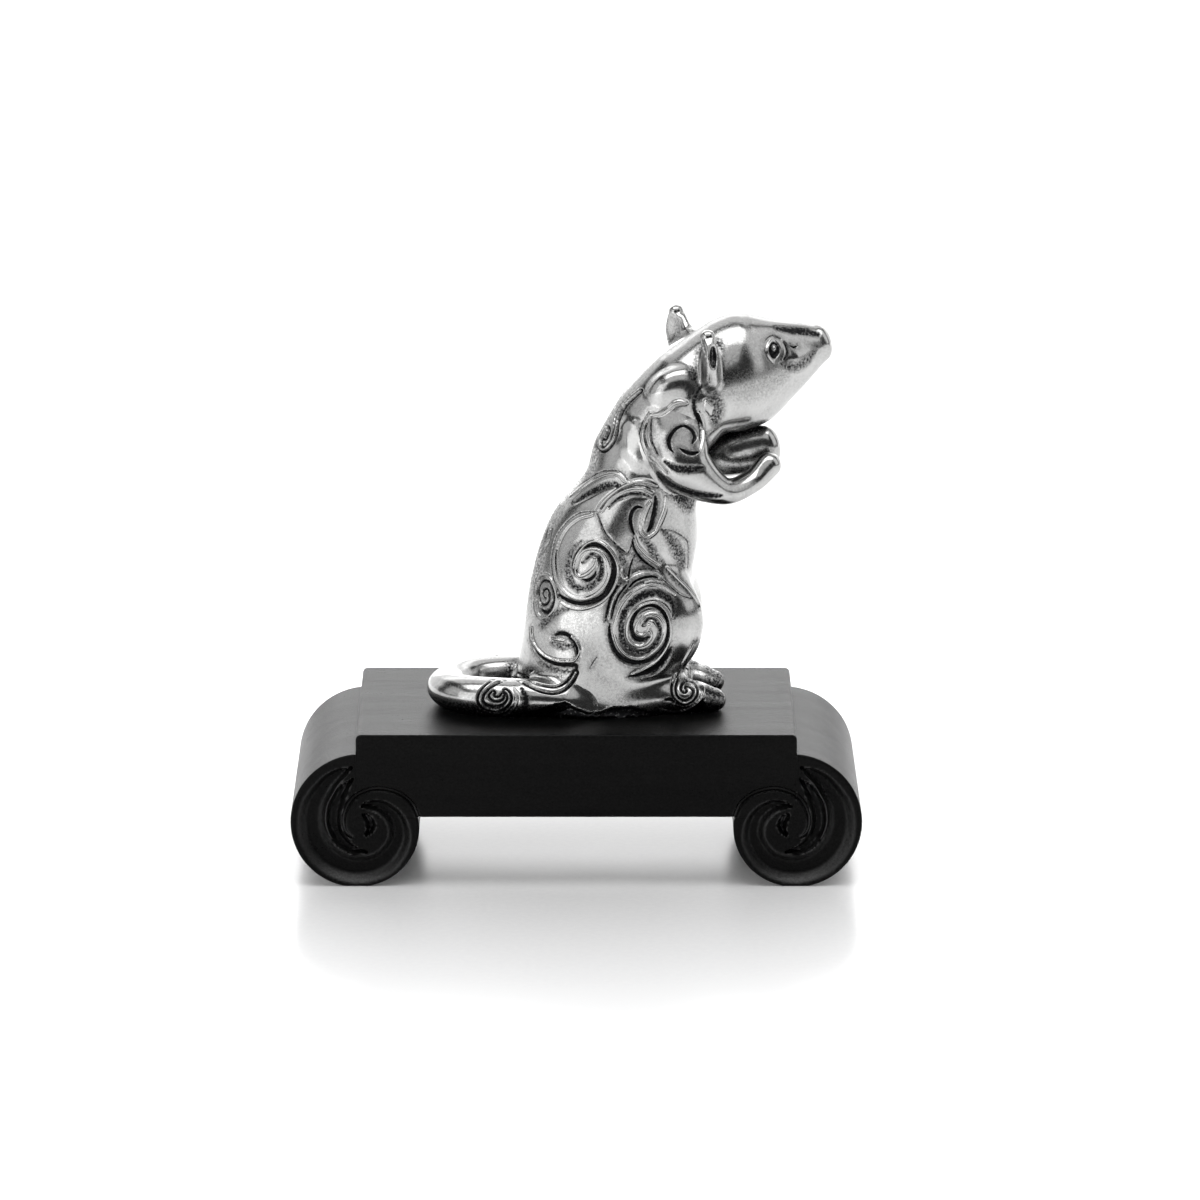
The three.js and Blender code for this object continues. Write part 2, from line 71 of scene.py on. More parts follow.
# The carved volute of the left scroll: degrees counter-clockwise from +X, radius, half width.
VOLUTE = {
    "edge": ("line", [
        (8, 10.4, 0.3), (24, 9.97, 0.4), (42, 8.88, 0.45), (64, 7.4, 0.45), (86, 5.95, 0.45),
        (108, 4.75, 0.42), (138, 3.5, 0.4), (170, 2.9, 0.35), (205, 2.7, 0.3), (235, 2.6, 0.2),
    ]),
    "crest": ("ridge", [
        (101, 9.4, 0.1), (114, 8.4, 0.2), (128, 7.4, 0.25), (147, 6.7, 0.28), (171, 6, 0.28),
        (190, 5.6, 0.25), (207, 5.4, 0.15),
    ]),
    "outer_flute": ("flute", [
        (97, 10.6, 0.1), (112, 9.7, 1.3), (130, 9, 1.9), (160, 8.5, 2.5), (195, 8.2, 2.8), (230, 8.1, 2.8),
        (265, 8, 2.6), (300, 7.9, 2.4), (335, 7.4, 2.1), (365, 6.5, 1.8), (395, 5.2, 1.4), (425, 4, 0.8),
        (445, 3.4, 0.1),
    ]),
    "inner_flute": ("flute", [
        (98, 8.5, 0.1), (115, 6.9, 1), (140, 5.4, 1.4), (173, 4.6, 1.5), (210, 4.4, 1.4), (250, 4.6, 1),
        (285, 5, 0.1),
    ]),
    "eye_flute": ("flute", [
        (295, 2.3, 0.1), (345, 2, 0.8), (390, 1.9, 0.8), (435, 2.2, 0.1),
    ]),
}

# Rat: the gap under it, and stations of each form as x, y, height above the platform, and the two half
# widths of its oval section.
SEAT_GAP = 0.05
ON_SEAT = 0.01
TRUNK = [
    (4.6, 0, -4, 13.3, 16.4), (4.5, 0, 0.6, 13.1, 16), (4.7, 0, 3, 12.5, 15.6), (5.2, 0, 12, 11.9, 14.6),
    (6.2, 0, 20, 11.3, 14.4), (7.5, 0, 27, 11, 13.7), (9.7, 0, 33, 10.6, 12.4), (11.5, 0, 39, 9.9, 10.2),
    (12.9, 0, 45, 9, 9.8), (15, 0, 51, 8.6, 8.2), (19.9, 0.3, 55.8, 8.3, 7.6),
]
HEAD = [
    (16.7, 0, 51.1, 8.2, 8.2), (20.9, 0.4, 56.1, 8.7, 8.9), (26.8, 2.1, 58.7, 8.5, 10.3),
    (31.3, 3.5, 60, 7.1, 10), (36.8, 5.1, 61.6, 5.1, 7), (42.8, 6.9, 63.5, 3, 3.5),
]
NOSE_BLUNTNESS = 0.7
NAPE_BLUNTNESS = 0.5
HIND_FOOT = [
    (9, 7.4, 2.2, 2.7, 3.6), (15.5, 7.4, 2.9, 3.2, 3.7), (20.8, 6.9, 2.6, 2.8, 3.5), (24.3, 6.2, 1.9, 2, 3),
]
FORELEG = [
    (16.9, 5.6, 53, 3.6, 4.9), (17.4, 7.9, 49.2, 3.6, 5.3), (19.6, 9.2, 44.2, 4.1, 4.7),
    (25.8, 7.6, 40, 2.9, 2.5), (30.8, 4.6, 41, 2.3, 2.1), (33.8, 2.9, 43.6, 2.2, 2.3),
]
LEFT_FORELEG = FORELEG[:2] + [
    (19.9, 8, 44.4, 3.5, 4.4), (25.8, 4.6, 44, 3.8, 4.2), (30.4, 3.4, 45, 3.3, 4.3),
    (33.4, 2.6, 45.6, 2.6, 3.9),
]
TAIL = [
    (-4, 6.6, 3.1, 3.2, 3.4), (-12, 7.6, 3.1, 3.2, 3.4), (-19.4, 5.2, 3.1, 3.2, 3.4),
    (-22.9, -1.8, 3.1, 3.2, 3.5), (-19.6, -7.8, 3.2, 3.4, 3.7), (-12.4, -9.8, 3.2, 3.4, 3.8),
    (-5, -10.2, 3.1, 3.2, 3.7), (0.8, -10, 2.1, 2.1, 2.6),
]
HAUNCH_CENTRE = (11.8, 6.4, 16)
HAUNCH_RADII = (10.6, 6.6, 11)
# The pad of the coat over each shoulder: its middle, how it leans, its half sizes.
SHOULDER_PAD = (16.8, 6.2, 58)
SHOULDER_PAD_LEAN = 33
SHOULDER_PAD_RADII = (4.9, 2.7, 3.4)
HEAD_TURN = 17
HEAD_PIVOT = (20, 0, 0)
EAR_ROOT = (20.9, 0.4, 59.7)
EAR_SPREAD = 9
EAR_HEIGHT = 8.2
EAR_HALF_WIDTH = 3.5
EAR_HALF_THICKNESS = 1.35
EAR_BACK_LEAN = 0.7
EAR_SPLAY = 17
EAR_OUTLINE = [(0, 0.6), (0.3, 0.95), (0.6, 1), (0.85, 0.65), (0.97, 0.35)]
LEFT_EAR_LIFT = 1
NECK_SEAM_POINT = (17.2, 0, 80.4)
NECK_SEAM_LEAN = 38

# Ornament on the rat's side: the kind of stroke, and its centre line as x, height in the side view and half
# width. The far side has its mirror image.
BODY_STROKES = {
    "flank_groove": ("groove", [
        (-3.53, 47.14, 0.18), (-2.51, 46.26, 0.32), (-0.93, 45.47, 0.39), (0.65, 45.12, 0.41),
        (2.67, 45.47, 0.46), (4.7, 46.63, 0.5), (6.06, 48.77, 0.5), (6.62, 51.32, 0.46), (6.1, 53.65, 0.41),
        (4.7, 55.23, 0.41), (2.9, 55.78, 0.37), (1.1, 55.27, 0.37), (-0.03, 53.88, 0.34),
        (-0.48, 52.02, 0.3), (-0.21, 50.62, 0.16),
    ]),
    "flank_rim": ("ridge", [
        (-0.51, 51.5, 0.1), (-0.22, 53.1, 0.16), (0.57, 54.6, 0.2), (1.7, 55.8, 0.22), (2.9, 56.4, 0.24),
        (4.03, 56.25, 0.27), (5.61, 55.04, 0.27), (6.85, 53.18, 0.27), (7.3, 51.32, 0.27),
        (6.91, 48.88, 0.27), (5.65, 46.56, 0.27), (3.58, 44.93, 0.3), (0.87, 44.16, 0.32),
        (-1.38, 44.54, 0.3), (-2.74, 45.4, 0.21),
    ]),
    "flank_coil": ("ridge", [
        (3.53, 52.83, 0.23), (3.13, 51.79, 0.3), (2, 50.67, 0.34), (0.65, 50.11, 0.32),
        (-0.03, 50.86, 0.27), (-0.03, 52.25, 0.27), (0.46, 53.76, 0.27), (1.66, 54.85, 0.27),
        (3.35, 54.99, 0.27), (4.7, 54.23, 0.3), (5.65, 52.48, 0.3), (5.76, 50.62, 0.32),
        (4.97, 48.42, 0.34), (3.35, 46.79, 0.37), (1.32, 46.02, 0.37), (-0.93, 46.44, 0.32),
        (-2.85, 48.42, 0.3), (-3.68, 51.55, 0.27), (-3.53, 55.04, 0.27), (-2.06, 58.41, 0.27),
        (0.19, 60.5, 0.27), (2.67, 61.27, 0.23),
    ]),
    "flank_outline": ("line", [
        (3.35, 61.78, 0.09), (0.87, 61.66, 0.11), (-1.38, 60.27, 0.11), (-3.53, 57.36, 0.11),
        (-4.32, 53.88, 0.11), (-4.36, 51.55, 0.11), (-3.91, 49, 0.14), (-3.19, 47.37, 0.18),
    ]),
    "flank_band": ("band", [
        (1.32, 52.72, 0.41), (2.67, 53.99, 0.5), (4.03, 53.3, 0.6), (4.48, 51.67, 0.69),
        (4.03, 49.81, 0.78), (2.67, 48.3, 0.8), (0.87, 47.88, 0.7), (-0.5, 48.6, 0.5), (-1, 50.2, 0.3),
    ]),
    # Painted shade on the shadowed side of the flank's channel, beside the inner spiral.
    "crescent_shade": ("stain_and_shade", [
        (0.2, 47.6, 0.9), (-1, 49, 1.1), (-1.5, 51, 1.1), (-1.3, 53.2, 1), (-0.4, 55.2, 0.8),
        (1, 56.6, 0.4),
    ]),
    "flank_drop": ("groove", [
        (1.1, 49.46, 0.14), (2.11, 49.35, 0.34), (3.13, 50.16, 0.27), (3.4, 50.9, 0.11),
    ]),
    "back_spiral": ("groove", [
        (-5.38, 46.09, 0.14), (-5.78, 46.44, 0.18), (-5.89, 47.25, 0.21), (-5.33, 47.84, 0.21),
        (-4.81, 47.14, 0.21), (-4.81, 45.86, 0.21), (-5.44, 44.93, 0.21), (-6.23, 45.28, 0.21),
        (-6.62, 46.67, 0.21), (-6.53, 48.3, 0.21), (-5.67, 49.35, 0.21), (-4.65, 48.88, 0.21),
        (-4.05, 47.37, 0.23), (-3.91, 45.74, 0.27), (-4.54, 44.12, 0.37), (-5.33, 43.54, 0.41),
        (-6.23, 44, 0.23),
    ]),
    "back_spiral_rim": ("ridge", [
        (-7.07, 46.67, 0.18), (-7.02, 47.84, 0.21), (-6.57, 49.69, 0.23), (-5.67, 50.32, 0.23),
        (-4.54, 49.65, 0.25), (-3.71, 47.84, 0.25), (-3.41, 46.09, 0.27), (-3.87, 44.23, 0.27),
        (-4.88, 42.91, 0.27), (-5.89, 42.54, 0.27), (-6.8, 43.54, 0.23), (-7.2, 45.51, 0.18),
    ]),
    "back_slit": ("groove", [
        (-4.88, 58.99, 0.11), (-5.44, 57.36, 0.21), (-6.23, 55.74, 0.27), (-6.8, 54.46, 0.14),
    ]),
    "back_slit_rim": ("ridge", [
        (-4.47, 58.76, 0.11), (-4.95, 56.67, 0.16), (-5.78, 55.04, 0.16), (-6.84, 53.41, 0.11),
    ]),
    "cloud_a": ("ridge", [
        (-1.27, 64.52, 0.18), (0.87, 66.15, 0.25), (3.13, 67.78, 0.27), (5.38, 68.71, 0.27),
        (7.18, 68.57, 0.27), (8.54, 67.4, 0.25), (9.33, 66.78, 0.18),
    ]),
    "cloud_a_line": ("line", [
        (-1.56, 64.68, 0.09), (-0.03, 66.01, 0.11), (2.22, 67.82, 0.11), (4.48, 69.03, 0.11),
        (6.73, 69.17, 0.11), (8.09, 68.57, 0.11), (8.99, 67.47, 0.09),
    ]),
    "cloud_a_flute": ("band", [
        (-0.26, 63.64, 0.46), (1.77, 64.92, 0.92), (4.03, 66.08, 1.03), (6.28, 66.66, 0.92),
        (7.86, 66.08, 0.57),
    ]),
    "cloud_b": ("ridge", [
        (3.69, 61.9, 0.18), (4.82, 63.59, 0.25), (6.73, 65.31, 0.27), (8.76, 66.59, 0.3),
        (10.79, 67.12, 0.32), (12.6, 66.99, 0.32), (14.06, 66.47, 0.18),
    ]),
    "cloud_b_line": ("line", [
        (4.25, 62.24, 0.09), (5.38, 63.76, 0.14), (7.18, 65.22, 0.16), (9.21, 66.15, 0.18),
        (11.24, 66.47, 0.18), (13.05, 65.85, 0.16),
    ]),
    "cloud_b_inner": ("ridge", [
        (4.48, 61.9, 0.11), (5.83, 63.82, 0.16), (7.64, 65.13, 0.18), (9.89, 65.87, 0.21),
        (11.92, 65.73, 0.21), (13.27, 65.13, 0.14),
    ]),
    "cloud_b_flute": ("band", [
        (5.61, 62.59, 0.23), (7.18, 64.06, 0.41), (9.21, 64.85, 0.5), (11.02, 64.99, 0.5),
        (12.82, 64.43, 0.32),
    ]),
    "loop_left": ("ridge", [
        (12.87, 63.41, 0.18), (12.26, 62.36, 0.27), (11.58, 60.39, 0.3), (11.36, 58.64, 0.27),
        (11.81, 57.6, 0.25), (12.71, 57.32, 0.23), (13.72, 58.01, 0.18),
    ]),
    "loop_hollow": ("groove", [
        (13.84, 64.45, 0.18), (13.95, 63.17, 0.46), (13.72, 61.31, 0.55), (13.27, 59.46, 0.5),
        (12.6, 58.18, 0.27),
    ]),
    "loop_right": ("ridge", [
        (15.71, 64.45, 0.18), (15.48, 62.24, 0.27), (14.74, 60.15, 0.3), (13.95, 58.29, 0.18),
    ]),
    "curl": ("groove", [
        (11.51, 62.41, 0.18), (10.57, 62.52, 0.32), (9.78, 61.73, 0.37), (9.44, 60.39, 0.37),
        (9.62, 58.99, 0.32), (10.07, 57.71, 0.16),
    ]),
    "petal_left": ("line", [
        (3.69, 61.31, 0.09), (4.48, 59.22, 0.16), (5.2, 57.71, 0.18), (6.62, 56.09, 0.21),
        (8.2, 54.69, 0.21), (8.88, 54.06, 0.11),
    ]),
    "petal_right": ("line", [
        (10.23, 57.83, 0.14), (9.89, 56.43, 0.21), (9.49, 55.04, 0.21), (8.88, 53.99, 0.11),
    ]),
    "sash": ("ridge", [
        (10.27, 57.25, 0.18), (10.91, 55.5, 0.27), (12.6, 53.65, 0.3), (14.63, 52.2, 0.18),
    ]),
    "sash_groove": ("groove", [
        (9.89, 56.43, 0.11), (10.34, 54.69, 0.21), (11.81, 52.83, 0.23), (13.95, 51.37, 0.11),
    ]),
    "thigh_edge": ("ridge", [
        (15.98, 51.55, 0.11), (17.78, 49.69, 0.18), (19.59, 47.84, 0.18), (21.28, 45.51, 0.16),
        (21.66, 44.23, 0.09),
    ]),
    "tuft_a": ("groove", [
        (10, 53.41, 0.11), (9.55, 52.02, 0.18), (9.21, 50.39, 0.18), (9.1, 48.88, 0.11),
    ]),
    "tuft_b": ("ridge", [
        (8.09, 52.02, 0.11), (7.91, 50.62, 0.21), (8.43, 49.58, 0.18), (8.99, 49.93, 0.11),
    ]),
    "hook": ("groove", [
        (-3.83, 39.41, 0.14), (-2.88, 39.75, 0.36), (-1.7, 39.5, 0.38), (-0.63, 38.48, 0.43),
        (0.08, 37.26, 0.48), (0.2, 36.04, 0.38), (0.01, 35.06, 0.19),
    ]),
    "hook_lip": ("ridge", [
        (-4.3, 38.85, 0.17), (-3.47, 38.67, 0.29), (-2.17, 38.43, 0.19),
    ]),
    "hem_groove": ("groove", [
        (-7.97, 38.72, 0.19), (-7.38, 37.02, 0.29), (-6.2, 35.55, 0.31), (-4.54, 34.53, 0.34),
        (-2.65, 34.04, 0.34), (-0.99, 33.99, 0.36), (-0.04, 33.79, 0.34), (-0.4, 32.14, 0.19),
        (-1.23, 30.92, 0.14), (-2.41, 30.18, 0.1),
    ]),
    "hem_ridge": ("ridge", [
        (-7.97, 40.92, 0.14), (-7.81, 38.97, 0.19), (-7.03, 37.14, 0.22), (-5.49, 35.6, 0.22),
        (-3.36, 34.77, 0.24), (-0.99, 34.67, 0.24), (-0.09, 35.06, 0.22), (0.55, 36.53, 0.22),
        (0.15, 37.99, 0.22), (-0.87, 39.21, 0.19),
    ]),
    "tail_arm": ("coil", [
        (-12.48, 29.4, 0.16), (-11.9, 28.8, 0.2), (-11.81, 27.67, 0.24), (-12.73, 26.45, 0.28),
        (-14.34, 25.83, 0.32), (-16.04, 26.36, 0.32), (-16.88, 27.49, 0.32), (-16.55, 29.06, 0.3),
        (-15.19, 30.46, 0.28), (-13.33, 31.5, 0.28), (-11.47, 32.03, 0.3), (-9.44, 31.5, 0.34),
        (-7.58, 30.46, 0.38), (-5.9, 29.76, 0.42), (-4, 29.5, 0.45), (-2.3, 30, 0.4), (-0.99, 31.16, 0.3),
        (-0.16, 32.62, 0.2),
    ]),
    "tail_core": ("coil", [
        (-14.6, 29.1, 0.15), (-14.9, 28.5, 0.3), (-14.3, 27.85, 0.32), (-13.3, 28.05, 0.26),
        (-12.9, 28.7, 0.15),
    ]),
    "tail_ring": ("ridge", [
        (-17.4, 25.6, 0.14), (-15.43, 24.6, 0.2), (-13.54, 24.5, 0.2), (-11.76, 25.35, 0.2),
        (-10.58, 26.77, 0.2), (-10.4, 28.35, 0.2), (-10.9, 29.6, 0.14),
    ]),
    # Painted shadow beside the tail's spiral.
    "tail_shade": ("shade", [
        (-9.6, 29.8, 0.5), (-8.9, 28.2, 0.9), (-8.9, 26.6, 0.9), (-9.2, 25.4, 0.5),
    ]),
    "scratch": ("line", [
        (2.44, 33.6, 0.07), (2.92, 34.45, 0.12), (3.56, 35.36, 0.07),
    ]),
    "haunch_a": ("ridge", [
        (12.92, 40.45, 0.19), (13.21, 39.26, 0.23), (12.35, 37.98, 0.25), (11, 37.48, 0.27),
        (9.66, 37.98, 0.29), (8.9, 39.46, 0.29), (9.09, 41.83, 0.29), (10.05, 43.61, 0.25),
        (11.77, 44.89, 0.25), (13.88, 45.19, 0.25), (15.51, 44, 0.25), (16.37, 42.03, 0.27),
        (16.56, 39.66, 0.27), (15.89, 37.29, 0.27), (14.26, 34.92, 0.27), (12.15, 33.44, 0.23),
        (9.85, 32.35, 0.16),
    ]),
    "haunch_b": ("ridge", [
        (12.73, 41.24, 0.23), (12.44, 40.15, 0.23), (11.39, 39.46, 0.27), (10.43, 40.05, 0.25),
        (10.52, 41.24, 0.23), (11.39, 42.62, 0.23), (13.11, 43.41, 0.25), (14.55, 43.11, 0.27),
        (15.51, 41.83, 0.27), (15.6, 40.05, 0.27), (14.84, 37.88, 0.27), (12.92, 35.9, 0.27),
        (11, 35.11, 0.29), (8.9, 35.71, 0.27), (7.36, 37.48, 0.27), (6.63, 40.25, 0.23),
        (7.07, 43.02, 0.23), (8.32, 45.58, 0.23), (10.24, 47.46, 0.23), (12.92, 48.64, 0.23),
        (15.22, 48.25, 0.23), (17.14, 46.97, 0.16),
    ]),
    "haunch_wedge": ("groove", [
        (9.2, 31.9, 0.1), (11.4, 32.3, 0.45), (13.4, 33, 0.75), (15, 34.2, 0.8), (16.1, 35.8, 0.55),
        (16.7, 37.2, 0.12),
    ]),
    "haunch_groove": ("groove", [
        (12.75, 39.17, 0.15), (11.63, 38.52, 0.5), (10.27, 38.94, 0.42), (9.64, 40.45, 0.34),
        (9.93, 42.42, 0.34), (11.06, 44.17, 0.38), (12.75, 44.91, 0.38), (14.44, 44.4, 0.36),
        (15.8, 42.65, 0.34), (16.14, 40.56, 0.34), (15.8, 38, 0.38), (14.44, 36.03, 0.42),
        (12.75, 34.75, 0.46), (10.72, 34.29, 0.46), (8.47, 34.87, 0.46), (6.89, 36.38, 0.42),
        (6.03, 38.47, 0.36), (5.76, 40.33, 0.24), (5.87, 41.49, 0.1),
    ]),
    "haunch_band": ("band", [
        (11.96, 41.61, 0.5), (12.75, 42.42, 0.4), (13.99, 42.07, 0.5), (14.67, 40.56, 0.6),
        (14.44, 38.7, 0.7), (13.43, 37.08, 0.8), (11.63, 36.19, 0.85), (9.6, 36.61, 0.85),
        (8.24, 38.12, 0.85), (7.84, 40.33, 0.85), (8.24, 43.12, 0.95), (9.6, 45.21, 1.1),
        (11.85, 46.72, 1.3), (14.33, 47.07, 1.3), (16.36, 45.91, 1.1), (17.15, 44.28, 0.7),
        (16.93, 42.66, 0.2),
    ]),
    "web": ("stain_and_shade", [
        (7.11, 55.44, 0.5), (8.02, 53.11, 1.2), (8.47, 50.56, 1.4), (7.2, 48.2, 1.2), (6.2, 45.6, 1),
        (5.6, 43, 0.6),
    ]),
    "web_front": ("stain_and_shade", [
        (9.9, 54.2, 0.5), (10.9, 52.9, 0.9), (12.3, 51.6, 1), (13.6, 51.2, 0.5),
    ]),
    "sash_shade": ("stain_and_shade", [
        (11.2, 57.1, 0.4), (12.98, 55.44, 1.2), (13.88, 53.58, 1.2), (15.2, 52.65, 0.6),
    ]),
    "breast_fold": ("stain_and_shade", [
        (15, 58.4, 0.6), (17, 56.2, 1.7), (18.1, 53.9, 1.9), (18.6, 51.8, 1),
    ]),
    "breast_line": ("line", [
        (13.9, 58.7, 0.06), (17, 58.2, 0.1), (19.4, 56.6, 0.1), (19.7, 54, 0.1), (19.6, 51.6, 0.06),
    ]),
    "leaf": ("stain_and_shade", [
        (15.9, 51.1, 0.7), (17.9, 49.4, 1.4), (20, 47.3, 1.1), (21.2, 46, 0.4),
    ]),
    "back_stain": ("stain_and_shade", [
        (-5.9, 41.2, 1.2), (-4.9, 42.4, 1.2), (-3.3, 43.6, 1), (-1.3, 44.3, 0.7),
    ]),
    "hook_stain": ("stain_and_shade", [
        (-4.3, 38, 0.6), (-2.4, 37.4, 1.2), (-0.7, 37.4, 0.8),
    ]),
    "hem_stain": ("stain_and_shade", [
        (-6.6, 34.6, 0.5), (-4.4, 33.4, 0.9), (-2.2, 32.9, 0.9), (-0.6, 33, 0.4),
    ]),
    # Painted shade over the toes.
    "toe_shade": ("shade", [
        (22.4, 30.2, 1.2), (24.2, 29.6, 2.2), (26.2, 29, 1.8),
    ]),
    "rib_a": ("groove", [
        (7.27, 48.35, 0.16), (6.12, 46.37, 0.21), (5.45, 44.2, 0.19), (5.1, 42.03, 0.12),
    ]),
    "rib_b": ("groove", [
        (8.8, 48.55, 0.18), (7.36, 46.57, 0.19), (6.6, 44.6, 0.18), (6.12, 42.42, 0.12),
    ]),
    "rib": ("ridge", [
        (8.03, 48.45, 0.12), (6.75, 46.47, 0.16), (6.02, 44.3, 0.16), (5.68, 42.23, 0.1),
    ]),
    "slot": ("groove", [
        (9.28, 48.15, 0.18), (10.24, 49.14, 0.23), (11.77, 49.83, 0.25), (13.3, 50.09, 0.25),
        (14.3, 49.89, 0.18),
    ]),
    "slot_upper": ("ridge", [
        (8.9, 49.34, 0.14), (10.24, 50.13, 0.16), (12.15, 50.72, 0.18), (13.88, 50.76, 0.19),
        (14.8, 50.13, 0.16),
    ]),
    "slot_lower": ("ridge", [
        (12.15, 48.98, 0.12), (13.69, 49.26, 0.16), (14.93, 49.06, 0.12),
    ]),
    "knee_edge": ("line", [
        (14.93, 49.73, 0.12), (15.99, 48.84, 0.16), (17.9, 47.06, 0.16), (19.44, 46.33, 0.16),
        (20.97, 45.94, 0.16), (21.64, 44.2, 0.1),
    ]),
    "ankle": ("coil", [
        (19.05, 29.39, 0.19), (18.77, 29.88, 0.19), (19.34, 30.67, 0.21), (20.49, 30.18, 0.21),
        (20.97, 29.09, 0.23), (20.3, 27.71, 0.23), (18.86, 27.12, 0.23), (17.52, 28.1, 0.21),
        (17.1, 29.78, 0.19), (17.52, 31.56, 0.18),
    ]),
    "calf": ("groove", [
        (21.12, 38.37, 0.1), (20.43, 36.69, 0.18), (19.67, 35.11, 0.21), (18.86, 33.63, 0.23),
        (17.9, 32.15, 0.23), (17.37, 30.77, 0.21),
    ]),
    "calf_edge": ("ridge", [
        (20.59, 38.08, 0.08), (19.82, 36.5, 0.14), (18.86, 34.72, 0.16), (17.71, 32.74, 0.16),
        (16.94, 30.97, 0.14),
    ]),
    "ankle_shade": ("groove", [
        (15.7, 27.61, 0.19), (16.56, 27.71, 0.39), (17.29, 27.18, 0.23),
    ]),
    "foot_edge": ("ridge", [
        (19.44, 33.53, 0.12), (20.97, 32.15, 0.16), (22.12, 30.97, 0.18), (22.5, 29.39, 0.19),
        (22.02, 28, 0.18), (20.97, 26.82, 0.18), (19.44, 25.93, 0.18), (17.14, 25.54, 0.18),
        (14.84, 26.03, 0.12),
    ]),
    "toe_a": ("line", [
        (22.69, 31.16, 0.08), (24.23, 31.13, 0.12), (25.76, 30.61, 0.08),
    ]),
    "toe_b": ("line", [
        (22.89, 29.58, 0.08), (24.51, 29.94, 0.12), (26.24, 29.39, 0.08),
    ]),
    "toe_c": ("line", [
        (22.89, 28.7, 0.08), (24.42, 28.95, 0.12), (26.05, 28.6, 0.08),
    ]),
    "neck_spiral": ("coil", [
        (4.92, 75.15, 0.17), (5.39, 76.49, 0.19), (5.03, 77.05, 0.19), (4.21, 75.39, 0.22),
        (3.97, 73.68, 0.22), (4.8, 72.95, 0.22), (6.22, 74.42, 0.22), (6.93, 76.37, 0.22),
        (7.28, 78.56, 0.19), (8.11, 80.52, 0.16), (9.6, 82.2, 0.12), (11.2, 83.6, 0.06),
    ]),
    "shoulder_ring": ("groove", [
        (20.24, 73.96, 0.15), (20.73, 75.24, 0.42), (20.12, 76.52, 0.42), (18.7, 77.15, 0.28),
        (17.19, 76.47, 0.35), (16.13, 74.82, 0.38), (16.22, 73.27, 0.3), (16.86, 72.33, 0.12),
    ]),
    "shoulder_drop": ("groove", [
        (17.98, 73.03, 0.12), (19, 72.5, 0.4), (20.24, 72.17, 0.45), (21.25, 72.4, 0.2),
    ]),
    # Painted dark reflection in a band along the near arm.
    "arm_shade": ("shade", [
        (15.4, 70.7, 0.4), (17.2, 69.5, 1), (19.1, 69.2, 1.1), (20.9, 69.4, 0.9), (22.2, 69.6, 0.4),
    ]),
    "cape_edge": ("ridge", [
        (13.02, 78.96, 0.22), (14.6, 79.38, 0.34), (15.73, 80.12, 0.42), (16.85, 81.05, 0.45),
        (17.98, 81.4, 0.45), (19.1, 81.28, 0.25),
    ]),
    # Painted shade beside the shoulder pad, towards the jaw.
    "lobe_shade": ("shade", [
        (21.8, 84.3, 0.5), (20.8, 82.6, 0.6), (20.5, 81, 0.6), (20.9, 78.9, 0.5), (21.6, 77.6, 0.2),
    ]),
    # Painted shade over the throat, round its bright ridge.
    "throat_shade": ("stain_and_shade", [
        (22.4, 84.4, 1.2), (23.8, 82.6, 2), (24.4, 80.2, 2.2), (24.2, 77.8, 1.4),
    ]),
    "throat": ("ridge", [
        (22.7, 81.5, 0.4), (23.1, 80.4, 0.9), (23.4, 79.3, 0.4),
    ]),
    "neck_swell": ("swell", [
        (9.4, 76.8, 2.4), (10.4, 74, 3.6), (11.4, 71.6, 2.8),
    ]),
    # Painted shadow under the near arm.
    "arm_underside_shadow": ("shade", [
        (14.15, 68.73, 0.5), (15.05, 67.57, 0.9), (17.1, 66.2, 0.7), (20.46, 65, 0.7), (23.8, 64.55, 0.7),
        (25.5, 64.6, 0.3),
    ]),
    "arm_line": ("line", [
        (13.2, 79.05, 0.1), (12.97, 76.61, 0.14), (13.32, 74.17, 0.17), (14.15, 71.98, 0.19),
    ]),
    "arm_rim": ("ridge", [
        (12.97, 79.42, 0.19), (12.21, 77.83, 0.31), (11.9, 76.12, 0.34), (12.26, 73.93, 0.36),
        (13.2, 71.93, 0.36), (14.51, 70.27, 0.31), (15.81, 68.68, 0.22),
    ]),
    "arm_slit": ("groove", [
        (20.9, 79.6, 0.1), (21.3, 78.56, 0.28), (21.7, 76.61, 0.24), (21.6, 74.6, 0.12),
    ]),
    "arm_slit_rim": ("ridge", [
        (21.49, 79.54, 0.17), (22.11, 77.34, 0.19), (22.15, 74.9, 0.19), (21.68, 72.71, 0.17),
    ]),
}
# The same on the head, seen from its own side.
HEAD_STROKES = {
    "mouth": ("stain_and_shade", [
        (35.8, 88.6, 0.4), (36.8, 88.2, 1.3), (38.3, 88, 1.5), (39.8, 88.8, 1.4), (41.1, 89.9, 1),
        (42.1, 91.1, 0.5),
    ]),
    # Painted dark reflection along the top of the snout.
    "snout_top": ("shade", [
        (35.2, 95, 0.5), (37.6, 94.6, 1), (40.2, 94.4, 1.1), (42.4, 93.9, 0.8),
    ]),
    "cheek_film": ("film", [
        (26, 84, 3), (29.6, 84.4, 5), (33.4, 85.4, 4.2), (36, 86.4, 2.4),
    ]),
    # Painted shade in the fold in front of the eye.
    "tear": ("shade", [
        (36.3, 92.4, 0.25), (36.9, 91.3, 0.4), (36.9, 90.2, 0.45), (36.4, 89.2, 0.3),
    ]),
    "tear_speck": ("groove", [
        (37.4, 91.9, 0.1), (38.1, 91.5, 0.2), (38.7, 91.7, 0.1),
    ]),
    "brow": ("line", [
        (33.1, 92.7, 0.08), (34.3, 93.6, 0.14), (35.8, 93, 0.1),
    ]),
}
